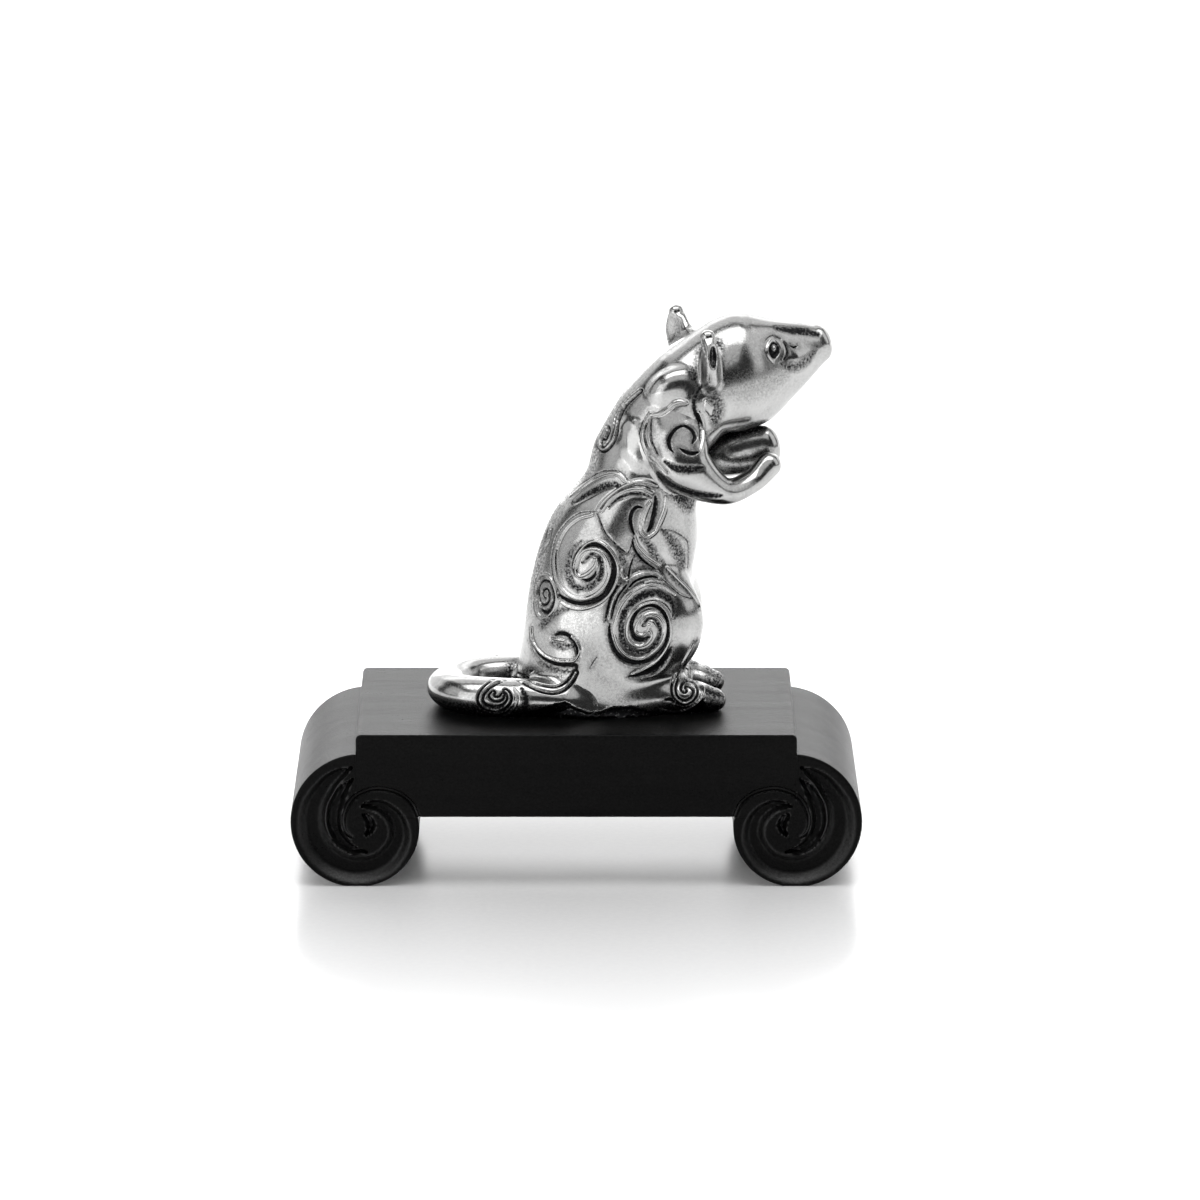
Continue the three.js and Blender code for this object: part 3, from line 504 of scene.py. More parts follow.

# Kinds of stroke: height of the ridge, width of the groove beside it, depth of the groove, and darkness in
# it, which is patina in grooves, lines and bands and painted shade in shade strokes.
KINDS = {
    "ridge": (0.26, 0.3, 0.08, 0.15),
    "coil": (0.22, 0.5, 0.45, 1.0),
    "groove": (0, 0, 0.5, 1.0),
    "line": (0, 0, 0.2, 0.75),
    "band": (0, 0, 0.32, 0.78),
    # Shade strokes are painted shade and painted dark reflections.
    "shade": (0, 0, 0.1, 0.9),
    # These strokes lay patina in some places and painted shade in others.
    "stain_and_shade": (0, 0, 0.03, 0.62),
    "swell": (0.6, 0, 0, 0),
    "film": (0, 0, 0, 0.24),
    "volute_flute": (0, 0, 1.7, 0),
    "volute_line": (0, 0, 0.7, 0),
    "volute_ridge": (0.01, 0.2, 0.05, 0),
}
SOFT_KINDS = ("band", "shade", "stain_and_shade", "film", "swell", "volute_flute")
# Where a soft stroke, a ridge and a groove fade out, in half widths of the stroke.
SOFT_EDGE = (0.25, 1.15)
RIDGE_EDGE = (0.3, 1.2)
GROOVE_EDGE = (0.35, 1.25)
# Dark haze beside the grooves.
HALO_PATINA = 0.45
HALO_REACH = 1.3
STROKE_STEP = 0.12
FEWEST_STEPS = 8
LEAST_HALF_WIDTH = 0.05
# The pattern is drawn as seen from a little above: how much depth raises it. Carving fades out where the
# surface no longer faces the side.
PATTERN_SHEAR = 0.249
FACING_FADE = (0.1, 0.4)
# How near to sharp detail the mesh is made finer, once and again.
REFINE_MARGINS = (0.5, 0.16)
FAR_OFF = 9.0

# The wavy lower edge of the coat, seen from the side. Below it the foot of the casting is set in, and
# coloured dark as painted shade.
HEM = [
    (-10.5, 25.2), (-6.9, 26), (-3.6, 27), (-1.9, 27.5), (-0.5, 26.5), (2.1, 25.4), (4.5, 25.8),
    (6.4, 26.4), (9.9, 26.5), (11.8, 26), (12.9, 25.5), (16, 25.2), (18.9, 25.7), (20.4, 26.4),
    (21.7, 27.4), (22.7, 28.2),
]
HEM_INSET = 0.8
HEM_SOFTNESS = 0.45
HEM_PAINTED_SHADE = 0.9
# Painted shade on the toes: where it begins, how high it reaches, how dark.
TOES = (21.6, 23.6)
TOE_HEIGHT = 6
TOE_PAINTED_SHADE = 0.6
# Painted shade on the back: how far a surface is turned that way, heights over which it sets in, how dark.
BACK_SHADE_TURN = (0.45, 0.95)
BACK_SHADE_HEIGHTS = (36, 50)
BACK_PAINTED_SHADE = 0.5

# Eye: its place and half sizes in the pattern's plane, and its parts in half sizes, with heights in
# millimetres. The pad is the cheek's swelling.
EYE = (34.7, 90.9)
EYE_HALF = (1.15, 1.8)
EYE_POINTING = 0.3
EYE_POINTING_REACH = 1.6
EYE_DETAIL = 1.3
EYE_DARK = (0.75, 1)
EYEBALL_PLACE = (0.12, 0.25)
EYEBALL_SIZE = 0.65
EYEBALL_HEIGHT = 0.6
LID_HEIGHT = 0.3
LID_PLACE = 1.12
LID_WIDTH = 0.18
LID_ANGLE = 165
LID_LEAST = 0.25
EYE_PIT = 0.6
EYE_PIT_EDGE = (0.5, 0.98)
EYEBALL_BUFFED = 0.85
LEAST_EYE_PATINA = 0.05
CHEEK_PAD = (38.7, 89.6)
CHEEK_PAD_RADIUS = 1.6
CHEEK_PAD_HEIGHT = 0.55

# Fillets where the forms of the figure run together, and between it and what is soldered on.
NECK_FILLET = 3
PAD_FILLET = 0.8
HAUNCH_FILLET = 2.4
FOOT_FILLET = 2.2
LIMB_FILLET = 1.4
TAIL_FILLET = 2
EAR_FILLETS = {-1: 1.6, 1: 3.4}
SCOOP_ROUNDING = 0.5
LIMB_SINK = 0.02
LIMB_BURY = 0.5

FIGURE_STEP = 0.56
LIMB_STEP = 0.45
EAR_STEP = 0.22


def smooth_step(low, high, value):
    share = np.clip((value - low) / (high - low), 0, 1)
    return share * share * (3 - 2 * share)


def unit(rows):
    return rows / np.maximum(np.linalg.norm(rows, axis=-1, keepdims=True), 1e-12)


def smooth_curve(points, count):
    """That many rows of a smooth curve through the given ones."""
    rows = np.asarray(points, float)
    padded = np.vstack([2 * rows[0] - rows[1], rows, 2 * rows[-1] - rows[-2]])
    place = np.linspace(0, len(rows) - 1, count)
    start = np.minimum(place.astype(int), len(rows) - 2)
    t = (place - start)[:, None]
    a, b, c, d = (padded[start + i] for i in range(4))
    return 0.5 * (2 * b + (c - a) * t + (2 * a - 5 * b + 4 * c - d) * t**2 + (3 * b - a - 3 * c + d) * t**3)


# Fields: distance to a form, negative inside

class Loft:
    """A form that swells and tapers along a smooth spine, with an oval section and rounded ends."""

    SAMPLES = 160
    NEAR = 6
    AT_ONCE = 50000

    def __init__(self, stations, axis=(0, 1, 0), side=1, bluntness=1):
        self.bluntness = bluntness
        rows = smooth_curve(stations, self.SAMPLES)
        spine = np.column_stack([rows[:, 0], side * rows[:, 1], PLATFORM + rows[:, 2]])
        slope = np.gradient(spine, axis=0)
        tangent = unit(slope)
        axis = np.asarray(axis, float)
        across = unit(axis - (tangent @ axis)[:, None] * tangent)
        self.spine = spine
        self.pace = np.linalg.norm(slope, axis=1)
        self.rows = np.column_stack([spine, tangent, across, np.cross(tangent, across), rows[:, 3:5]])
        widest = rows[:, 3:5].max()
        self.low = spine.min(0) - widest
        self.high = spine.max(0) + widest

    def distance(self, points):
        outside = np.maximum(np.maximum(self.low - points, points - self.high), 0)
        result = np.linalg.norm(outside, axis=1)
        near = np.flatnonzero(result < self.NEAR)
        for start in range(0, len(near), self.AT_ONCE):
            part = near[start : start + self.AT_ONCE]
            result[part] = self.exact(points[part])
        return result

    def exact(self, points):
        spine = self.spine.astype(np.float32)
        score = points.astype(np.float32) @ (-2 * spine.T) + (spine**2).sum(1)
        nearest = score.argmin(1)
        tangent = self.rows[nearest, 3:6]
        shift = ((points - self.spine[nearest]) * tangent).sum(1) / self.pace[nearest]
        place = np.clip(nearest + shift, 0, self.SAMPLES - 1)
        low = np.minimum(place.astype(int), self.SAMPLES - 2)
        share = (place - low)[:, None]
        row = self.rows[low] * (1 - share) + self.rows[low + 1] * share
        offset = points - row[:, :3]
        size = np.column_stack([self.bluntness * row[:, 12:14].min(1), row[:, 12], row[:, 13]])
        local = np.column_stack([(offset * row[:, i : i + 3]).sum(1) for i in (3, 6, 9)])
        return oval_distance(local, size)


def oval_distance(offset, radii):
    share = offset / radii
    size = np.linalg.norm(share, axis=1)
    slope = np.linalg.norm(share / radii, axis=1)
    return size * (size - 1) / np.maximum(slope, 1e-9)


def join(a, b, fillet):
    """The union of two fields, with a fillet between them."""
    blend = np.maximum(fillet - np.abs(a - b), 0) / fillet
    return np.minimum(a, b) - blend * blend * fillet / 4


def ear_stations(side, lift):
    turn = math.radians(HEAD_TURN)
    x = EAR_ROOT[0] - side * EAR_SPREAD * math.sin(turn)
    y = EAR_ROOT[1] + side * EAR_SPREAD * math.cos(turn)
    return [
        (x - EAR_BACK_LEAN * up**2, y, EAR_ROOT[2] + lift + EAR_HEIGHT * up,
         EAR_HALF_WIDTH * width, EAR_HALF_THICKNESS)
        for up, width in EAR_OUTLINE
    ]


def ear_axis(side):
    facing = math.radians(HEAD_TURN + side * EAR_SPLAY)
    return (-math.sin(facing), math.cos(facing), 0)


UP = (0, 0, 1)
near_leg = Loft(FORELEG, side=-1)
far_leg = Loft(LEFT_FORELEG)
tail = Loft(TAIL, UP)
trunk = Loft(TRUNK, bluntness=NAPE_BLUNTNESS)
head = Loft(HEAD, bluntness=NOSE_BLUNTNESS)
feet = [Loft(HIND_FOOT, UP, side) for side in (-1, 1)]
ears = {
    side: Loft(ear_stations(side, lift), ear_axis(side)) for side, lift in ((-1, 0), (1, LEFT_EAR_LIFT))
}
BASE = PLATFORM + SEAT_GAP


def on_each_side(place):
    return [np.array([place[0], side * place[1], PLATFORM + place[2]]) for side in (-1, 1)]


def leaning(degrees):
    """Axes turned about Y."""
    lean = math.radians(degrees)
    return np.array([[math.cos(lean), 0, math.sin(lean)], [0, 1, 0], [-math.sin(lean), 0, math.cos(lean)]])


def figure(points, with_head=True):
    """Trunk, head, shoulder pads, haunches and hind feet as one smooth form."""
    field = trunk.distance(points)
    if with_head:
        field = join(field, head.distance(points), NECK_FILLET)
    for centre in on_each_side(SHOULDER_PAD):
        offset = (points - centre) @ leaning(SHOULDER_PAD_LEAN).T
        field = join(field, oval_distance(offset, np.array(SHOULDER_PAD_RADII)), PAD_FILLET)
    for centre in on_each_side(HAUNCH_CENTRE):
        field = join(field, oval_distance(points - centre, np.array(HAUNCH_RADII)), HAUNCH_FILLET)
    for foot in feet:
        field = join(field, foot.distance(points), FOOT_FILLET)
    return field


def seated_figure(points):
    return np.maximum(figure(points), BASE - points[:, 2])


def limb_field(limb, fillet, scoop=None, on_head=True):
    """What is soldered on, with the fillet that runs out on the figure, buried a little in it."""
    def field(points):
        body = figure(points, on_head)
        form = limb.distance(points)
        if scoop is not None:
            centre, axes, radii = scoop
            form = -join(-form, oval_distance((points - centre) @ axes.T, radii), SCOOP_ROUNDING)
        shape = np.maximum(join(body, form, fillet) + LIMB_SINK, form - fillet)
        shape = np.maximum(shape, -body - LIMB_BURY)
        return np.maximum(shape, BASE - points[:, 2])
    return field


# Patina that buffing doesn't reach, with painted shade, where other forms are near: distance, range of what
# is taken up, darkness.
HOLLOW_PATINA_AND_SHADE = ((2.6, (0.32, 0.85), 0.85), (5.5, (0.35, 0.8), 0.7))


def patina_and_shade_in_hollows(points, normals):
    """Patina that buffing has not reached, and painted shade: how much of the space just off the surface is
    taken up.
    """
    patina_shade_and_shine = np.zeros(len(points))
    for within, taken_up, most in HOLLOW_PATINA_AND_SHADE:
        probes = points + within * normals
        free = np.minimum(figure(probes), probes[:, 2] - BASE)
        for limb in (near_leg, far_leg, tail, *ears.values()):
            free = np.minimum(free, limb.distance(probes))
        patina_shade_and_shine = np.maximum(patina_shade_and_shine, most * smooth_step(*taken_up, 1 - free / within))
    return patina_shade_and_shine


# Meshes from fields

BLOCK_CELLS = 4
NEAR_CELLS = 6


def grid_values(field, low, high, step):
    """The field on a grid: block by block at first, then point by point near the surface."""
    shape = [int(math.ceil((high[k] - low[k]) / step)) + 1 for k in range(3)]
    blocks = [-(-n // BLOCK_CELLS) for n in shape]
    index = np.stack(np.meshgrid(*[np.arange(n) for n in blocks], indexing="ij"), -1).reshape(-1, 3)
    fine = field(low + step * (BLOCK_CELLS * index + (BLOCK_CELLS - 1) / 2)).reshape(blocks)
    for axis in range(3):
        fine = np.repeat(fine, BLOCK_CELLS, axis=axis)
    fine = fine[: shape[0], : shape[1], : shape[2]].copy()
    near = np.argwhere(np.abs(fine) < NEAR_CELLS * step)
    fine[tuple(near.T)] = field(low + step * near)
    return fine


def surface_net(values, low, step):
    """Vertices and quads of the surface where the values change sign."""
    inside = values < 0
    n = [s - 1 for s in values.shape]
    count = sum(
        inside[a : a + n[0], b : b + n[1], c : c + n[2]].astype(np.int8)
        for a in (0, 1) for b in (0, 1) for c in (0, 1)
    )
    active = (count > 0) & (count < 8)
    cells = np.argwhere(active)
    number = np.full(active.shape, -1)
    number[tuple(cells.T)] = np.arange(len(cells))
    total = np.zeros((len(cells), 3))
    hits = np.zeros(len(cells))
    quads = []
    for axis in range(3):
        step_along = np.eye(3, dtype=int)[axis]
        b_axis, c_axis = (axis + 1) % 3, (axis + 2) % 3
        for b in (0, 1):
            for c in (0, 1):
                corner = np.zeros(3, int)
                corner[b_axis], corner[c_axis] = b, c
                first = values[tuple((cells + corner).T)]
                second = values[tuple((cells + corner + step_along).T)]
                crosses = (first < 0) != (second < 0)
                share = np.where(crosses, first / np.where(crosses, first - second, 1), 0)
                total += crosses[:, None] * (corner + share[:, None] * step_along)
                hits += crosses
        ahead = np.roll(inside, -1, axis=axis)
        edge = np.argwhere(inside != ahead)
        edge = edge[(edge[:, axis] < n[axis]) & (edge[:, b_axis] > 0) & (edge[:, c_axis] > 0)]
        edge = edge[(edge[:, b_axis] < n[b_axis]) & (edge[:, c_axis] < n[c_axis])]
        back_b, back_c = np.eye(3, dtype=int)[b_axis], np.eye(3, dtype=int)[c_axis]
        around = [edge - back_b - back_c, edge - back_c, edge, edge - back_b]
        quad = np.stack([number[tuple(cell.T)] for cell in around], 1)
        outward = inside[tuple(edge.T)]
        quads.append(np.where(outward[:, None], quad, quad[:, ::-1]))
    return low + step * (cells + total / hits[:, None]), np.concatenate(quads)


def triangles_of(points, quads):
    first = np.linalg.norm(points[quads[:, 0]] - points[quads[:, 2]], axis=1)
    second = np.linalg.norm(points[quads[:, 1]] - points[quads[:, 3]], axis=1)
    turned = np.where((first <= second)[:, None], quads, np.roll(quads, -1, axis=1))
    return np.concatenate([turned[:, [0, 1, 2]], turned[:, [0, 2, 3]]])


PROBES = np.array([(1, -1, -1), (-1, -1, 1), (-1, 1, -1), (1, 1, 1)], float)
PROBE_REACH = 0.03
LEAST_SLOPE = 0.25
LONGEST_MOVE = 0.5
EVENING = 0.6


def settle(points, field, rounds):
    """Moves points onto the surface of a field."""
    for _ in range(rounds):
        values = [field(points + PROBE_REACH * probe) for probe in PROBES]
        slope = sum(v[:, None] * probe for v, probe in zip(values, PROBES)) / (4 * PROBE_REACH)
        value = sum(values) / 4
        step = value / np.maximum((slope**2).sum(1), LEAST_SLOPE)
        points = points - slope * np.clip(step, -LONGEST_MOVE, LONGEST_MOVE)[:, None]
    return points


def edges_of(triangles, count):
    """The mesh's edges, and for each triangle the numbers of its three."""
    ends = np.concatenate([triangles[:, [0, 1]], triangles[:, [1, 2]], triangles[:, [2, 0]]])
    ends.sort(axis=1)
    keys, numbers = np.unique(ends[:, 0].astype(np.int64) * count + ends[:, 1], return_inverse=True)
    return np.column_stack([keys // count, keys % count]), numbers.reshape(3, -1).T


def even_out(points, triangles, rounds):
    """Moves each point towards the middle of its neighbours."""
    edges, _ = edges_of(triangles, len(points))
    for _ in range(rounds):
        total = np.zeros_like(points)
        for a, b in ((0, 1), (1, 0)):
            for k in range(3):
                total[:, k] += np.bincount(edges[:, a], points[edges[:, b], k], len(points))
        degree = np.bincount(edges.ravel(), minlength=len(points))
        points = (1 - EVENING) * points + EVENING * total / degree[:, None]
    return points


def refined(points, triangles, wanted):
    """Halves the edges whose middles are wanted, with no gap between fine and coarse triangles."""
    edges, sides = edges_of(triangles, len(points))
    middles = points[edges].mean(1)
    marked = wanted(middles)
    while True:
        count = marked[sides].sum(1)
        uneven = count == 2
        if not uneven.any():
            break
        marked[sides[uneven].ravel()] = True
    middle = np.where(marked, len(points) + np.cumsum(marked) - 1, -1)
    points = np.concatenate([points, middles[marked]])
    whole = triangles[count == 0]
    a, b, c = triangles[count == 3].T
    ab, bc, ca = middle[sides[count == 3]].T
    quarters = [(a, ab, ca), (ab, b, bc), (ca, bc, c), (ab, bc, ca)]
    single = np.flatnonzero(count == 1)
    turn = marked[sides[single]].argmax(1)
    corner = [triangles[single, (turn + i) % 3] for i in range(3)]
    half = middle[sides[single, turn]]
    halves = [(corner[0], half, corner[2]), (half, corner[1], corner[2])]
    return points, np.concatenate([whole] + [np.stack(t, 1) for t in quarters + halves])


def normals_of(points, triangles):
    a, b, c = (points[triangles[:, i]] for i in range(3))
    face = np.cross(b - a, c - a)
    normal = np.zeros_like(points)
    for i in range(3):
        for k in range(3):
            normal[:, k] += np.bincount(triangles[:, i], face[:, k], len(points))
    return unit(normal)


# Ornament: strokes drawn on the side of the rat, raised and cut along the surface

class Stroke:
    def __init__(self, kind, points):
        self.kind = kind
        length = np.linalg.norm(np.diff(np.asarray(points)[:, :2], axis=0), axis=1).sum()
        self.rows = smooth_curve(points, max(FEWEST_STEPS, int(length / STROKE_STEP)))
        self.rows[:, 2] = np.maximum(self.rows[:, 2], LEAST_HALF_WIDTH)
        self.along = unit(np.gradient(self.rows[:, :2], axis=0))
        self.reach = self.rows[:, 2].max() + KINDS[kind][1] + HALO_REACH
        self.low = self.rows[:, :2].min(0) - self.reach
        self.high = self.rows[:, :2].max(0) + self.reach

    def near(self, flat):
        return np.flatnonzero(((flat > self.low) & (flat < self.high)).all(1))

    def measure(self, flat):
        """Distance from the centre line, and half width there."""
        spine = self.rows[:, :2]
        nearest = (flat @ (-2 * spine.T) + (spine**2).sum(1)).argmin(1)
        offset = flat - spine[nearest]
        along = (offset * self.along[nearest]).sum(1)
        inner = (nearest > 0) & (nearest < len(spine) - 1)
        across = np.abs(offset[:, 0] * self.along[nearest, 1] - offset[:, 1] * self.along[nearest, 0])
        return np.where(inner, across, np.hypot(across, along)), self.rows[nearest, 2]


class Ornament:
    """The strokes of one group: height, and patina with painted shade, at points of the pattern's plane, -1
    on ridges.
    """

    def __init__(self, strokes):
        self.strokes = [Stroke(kind, points) for kind, points in strokes]

    def relief(self, flat):
        raised, swell, ridge_share, cut, patina_shade_and_shine = np.zeros((5, len(flat)))
        for stroke in self.strokes:
            height, side, depth, dark = KINDS[stroke.kind]
            here = stroke.near(flat)
            if not len(here):
                continue
            distance, half = stroke.measure(flat[here])
            halo = 0
            if stroke.kind in SOFT_KINDS:
                hollow = 1 - smooth_step(*SOFT_EDGE, distance / half)
                swell[here] = np.maximum(swell[here], height * hollow)
            elif height:
                crest = 1 - smooth_step(*RIDGE_EDGE, distance / half)
                raised[here] = np.maximum(raised[here], height * crest)
                ridge_share[here] = np.maximum(ridge_share[here], crest)
                hollow = 1 - smooth_step(half + 0.5 * side, half + side, distance)
            else:
                hollow = 1 - smooth_step(*GROOVE_EDGE, distance / half)
                halo = HALO_PATINA * (1 - smooth_step(0.5 * half, half + HALO_REACH, distance))
            cut[here] = np.maximum(cut[here], depth * hollow)
            patina_shade_and_shine[here] = np.maximum(patina_shade_and_shine[here], np.maximum(dark * hollow, dark * halo))
        return raised + swell - cut * (1 - ridge_share), patina_shade_and_shine * (1 - ridge_share) - ridge_share

    def clearance(self, flat):
        """How far points lie outside the nearest stroke that has sharp detail."""
        result = np.full(len(flat), FAR_OFF)
        for stroke in self.strokes:
            if stroke.kind in SOFT_KINDS:
                continue
            here = stroke.near(flat)
            if len(here):
                distance, half = stroke.measure(flat[here])
                side = KINDS[stroke.kind][1]
                result[here] = np.minimum(result[here], distance - half * RIDGE_EDGE[1] - side)
        return result


body_ornament = Ornament(BODY_STROKES.values())
head_ornament = Ornament(HEAD_STROKES.values())
HEAD_SIDE = np.array([-math.sin(math.radians(HEAD_TURN)), math.cos(math.radians(HEAD_TURN)), 0])
BODY_SIDE = np.array([0.0, 1.0, 0.0])
SEAM_NORMAL = np.array([math.sin(math.radians(NECK_SEAM_LEAN)), 0, math.cos(math.radians(NECK_SEAM_LEAN))])


def beyond_neck(points):
    return (points - np.array(NECK_SEAM_POINT)) @ SEAM_NORMAL


def pattern_plane(points, normals, side_axis, pivot):
    """Points seen from the side that they are on, and how squarely their surface faces that way."""
    out = (points - pivot) @ side_axis
    far = out > 0
    near_points = np.where(far[:, None], points - 2 * out[:, None] * side_axis, points)
    flat = np.column_stack([near_points[:, 0], near_points[:, 2] + PATTERN_SHEAR * near_points[:, 1]])
    facing = (normals @ side_axis) * np.where(far, 1, -1)
    return flat, smooth_step(*FACING_FADE, facing)


def eye_relief(flat):
    """The eyeball in its socket, with a lid that is full above and behind and fades towards the nose."""
    offset = (flat - np.array(EYE)) / np.array(EYE_HALF)
    offset[:, 0] /= 1 - EYE_POINTING * np.clip(np.abs(offset[:, 1]), 0, EYE_POINTING_REACH) ** 2
    size = np.linalg.norm(offset, axis=1)
    angle = np.arctan2(offset[:, 1], offset[:, 0]) - math.radians(LID_ANGLE)
    ball = smooth_step(EYEBALL_SIZE, 0, np.linalg.norm(offset - np.array(EYEBALL_PLACE), axis=1))
    lid = np.exp(-(((size - LID_PLACE) / LID_WIDTH) ** 2))
    lid *= np.clip(LID_LEAST + (1 - LID_LEAST) * np.cos(angle), 0, 1)
    pit = 1 - smooth_step(*EYE_PIT_EDGE, size)
    pad = CHEEK_PAD_HEIGHT * np.exp(-(((flat - np.array(CHEEK_PAD)) / CHEEK_PAD_RADIUS) ** 2).sum(1))
    height = EYEBALL_HEIGHT * ball + LID_HEIGHT * lid + pad - EYE_PIT * pit
    return height, (1 - smooth_step(*EYE_DARK, size)) * (1 - EYEBALL_BUFFED * ball)


def below_hem(flat):
    """How far points lie below the wavy edge of the coat."""
    return np.interp(flat[:, 0], *np.array(HEM).T, left=0, right=0) - flat[:, 1]


def carved(points, triangles):
    """The points moved along their normals by the ornament, with the patina and painted shade that lie on
    them.
    """
    normals = normals_of(points, triangles)
    flat, facing = pattern_plane(points, normals, BODY_SIDE, np.zeros(3))
    height, patina_shade_and_shine = body_ornament.relief(flat)
    height, patina_shade_and_shine = height * facing, patina_shade_and_shine * facing
    below = smooth_step(0, HEM_SOFTNESS, below_hem(flat))
    height -= HEM_INSET * below
    # Painted shade below the hem.
    patina_shade_and_shine = np.maximum(patina_shade_and_shine, HEM_PAINTED_SHADE * below)
    # Painted shade on surfaces turned to the back.
    back_shade = BACK_PAINTED_SHADE * smooth_step(*BACK_SHADE_TURN, -normals[:, 0]) * smooth_step(*BACK_SHADE_HEIGHTS, points[:, 2])
    # Painted shade on the toes.
    toes = TOE_PAINTED_SHADE * smooth_step(*TOES, points[:, 0]) * (points[:, 2] < BASE + TOE_HEIGHT)
    patina_shade_and_shine = np.where(patina_shade_and_shine < 0, patina_shade_and_shine, np.maximum(patina_shade_and_shine, np.maximum(back_shade, toes)))
    flat, facing = pattern_plane(points, normals, HEAD_SIDE, np.array(HEAD_PIVOT))
    facing = facing * (beyond_neck(points) > 0)
    head_height, head_patina_and_shade = head_ornament.relief(flat)
    eye_height, eye_patina = eye_relief(flat)
    height += (head_height + eye_height) * facing
    head_patina_and_shade = np.where(eye_patina > LEAST_EYE_PATINA, eye_patina, head_patina_and_shade) * facing
    patina_shade_and_shine = np.where(np.abs(head_patina_and_shade) > np.abs(patina_shade_and_shine), head_patina_and_shade, patina_shade_and_shine)
    moved = points + normals * height[:, None]
    moved[:, 2] = np.where(points[:, 2] < BASE + ON_SEAT, BASE, np.maximum(moved[:, 2], BASE))
    return moved, patina_shade_and_shine


def near_detail(points, margin):
    """Which points lie within a margin of sharp ornament on either side of the rat."""
    wanted = np.zeros(len(points), bool)
    for group, axis, pivot in ((body_ornament, BODY_SIDE, np.zeros(3)),
                               (head_ornament, HEAD_SIDE, np.array(HEAD_PIVOT))):
        flat, _ = pattern_plane(points, np.zeros_like(points), axis, pivot)
        clear = group.clearance(flat)
        if group is head_ornament:
            size = np.linalg.norm((flat - np.array(EYE)) / np.array(EYE_HALF), axis=1)
            clear = np.where(beyond_neck(points) > 0, np.minimum(clear, size - EYE_DETAIL), FAR_OFF)
        else:
            clear = np.minimum(clear, np.abs(below_hem(flat) - 0.5 * HEM_SOFTNESS))
        wanted |= clear < margin
    return wanted


def cast(field, low, high, step, margins=REFINE_MARGINS, hollow_share=1):
    """A closed mesh of a field with its ornament: points, triangles, and patina with painted shade."""
    low, high = np.array(low, float), np.array(high, float)
    points, quads = surface_net(grid_values(field, low, high, step), low, step)
    triangles = triangles_of(points, quads)
    points = settle(points, field, 1)
    points = settle(even_out(points, triangles, 2), field, 2)
    for margin in margins:
        points, triangles = refined(points, triangles, lambda middles: near_detail(middles, margin))
    points = settle(points, field, 1)
    # Patina and painted shade in the hollows.
    hollow_patina_and_shade = hollow_share * patina_and_shade_in_hollows(points, normals_of(points, triangles))
    points, patina_shade_and_shine = carved(points, triangles)
    return points, triangles, np.where(patina_shade_and_shine < 0, patina_shade_and_shine, np.maximum(patina_shade_and_shine, hollow_patina_and_shade))


def add_object(name, data):
    holder = bpy.data.objects.new(name, data)
    bpy.context.scene.collection.objects.link(holder)
    return holder


@contextmanager
def edited(mesh):
    """The mesh opened for editing, and written back at the end."""
    grid = bmesh.new()
    grid.from_mesh(mesh)
    yield grid
    grid.to_mesh(mesh)
    grid.free()


def mesh_object(name, points, faces, patina_shade_and_shine=None):
    mesh = bpy.data.meshes.new(name)
    points = np.asarray(points, float) * MM
    sizes = np.array([len(face) for face in faces])
    mesh.vertices.add(len(points))
    mesh.vertices.foreach_set("co", points.ravel())
    mesh.loops.add(int(sizes.sum()))
    mesh.loops.foreach_set("vertex_index", np.concatenate([np.asarray(face) for face in faces]))
    mesh.polygons.add(len(faces))
    mesh.polygons.foreach_set("loop_start", np.concatenate([[0], np.cumsum(sizes)[:-1]]))
    mesh.polygons.foreach_set("use_smooth", np.full(len(faces), True))
    if patina_shade_and_shine is not None:
        attribute = mesh.attributes.new("patina_shade_and_shine", "FLOAT", "POINT")
        attribute.data.foreach_set("value", patina_shade_and_shine.astype(np.float32))
    mesh.update(calc_edges=True)
    mesh.validate()
    return add_object(name, mesh)


SAME_PLACE = 1e-7


def cut_at_neck(piece, name, keep_head):
    """A copy of a piece on one side of the neck seam, closed there."""
    mesh = piece.data.copy()
    with edited(mesh) as grid:
        bmesh.ops.bisect_plane(
            grid, geom=grid.verts[:] + grid.edges[:] + grid.faces[:], dist=SAME_PLACE,
            plane_co=Vector(NECK_SEAM_POINT) * MM, plane_no=Vector(SEAM_NORMAL),
            clear_outer=not keep_head, clear_inner=keep_head,
        )
        rim = [edge for edge in grid.edges if edge.is_boundary]
        filled = bmesh.ops.holes_fill(grid, edges=rim, sides=0)["faces"]
        for part in rim + filled:
            part.smooth = False
        bmesh.ops.triangulate(grid, faces=filled)
        bmesh.ops.recalc_face_normals(grid, faces=grid.faces[:])
    return add_object(name, mesh)


def finish_piece(piece, nodes, material):
    piece.data.materials.clear()
    piece.data.materials.append(material)
    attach(piece, "root")
    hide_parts(*nodes)
    return piece


# Materials. A noise is its scale per metre, detail and roughness, and any stretch along the axes.
# A ramp is the range that it maps and the range that it gives. A bump is its strength and its distance.

FULL = (0, 1, 0, 1)
PEWTER, PEWTER_DARK = (0.56, 0.56, 0.555), (0.016, 0.016, 0.017)
LACQUER, LACQUER_WORN = (0.0012, 0.0012, 0.0013), (0.004, 0.0039, 0.0038)
STEEL, STEEL_DULL, STEEL_ROUGHNESS = (0.56, 0.57, 0.58), (0.36, 0.36, 0.37), 0.28
BRASS, BRASS_DULL, BRASS_ROUGHNESS = (0.72, 0.5, 0.2), (0.48, 0.31, 0.11), 0.3
BEECH, BEECH_RING, BEECH_FLECK = (0.62, 0.43, 0.26), (0.5, 0.31, 0.17), (0.3, 0.17, 0.09)
PAPER, PAPER_FIBRE = (0.8, 0.8, 0.805), (0.82, 0.82, 0.82)
CAST_GRAIN, CAST_CLOUD, CAST_RIPPLE = (2600, 4, 0.65), (170, 4, 0.6), (330, 2)
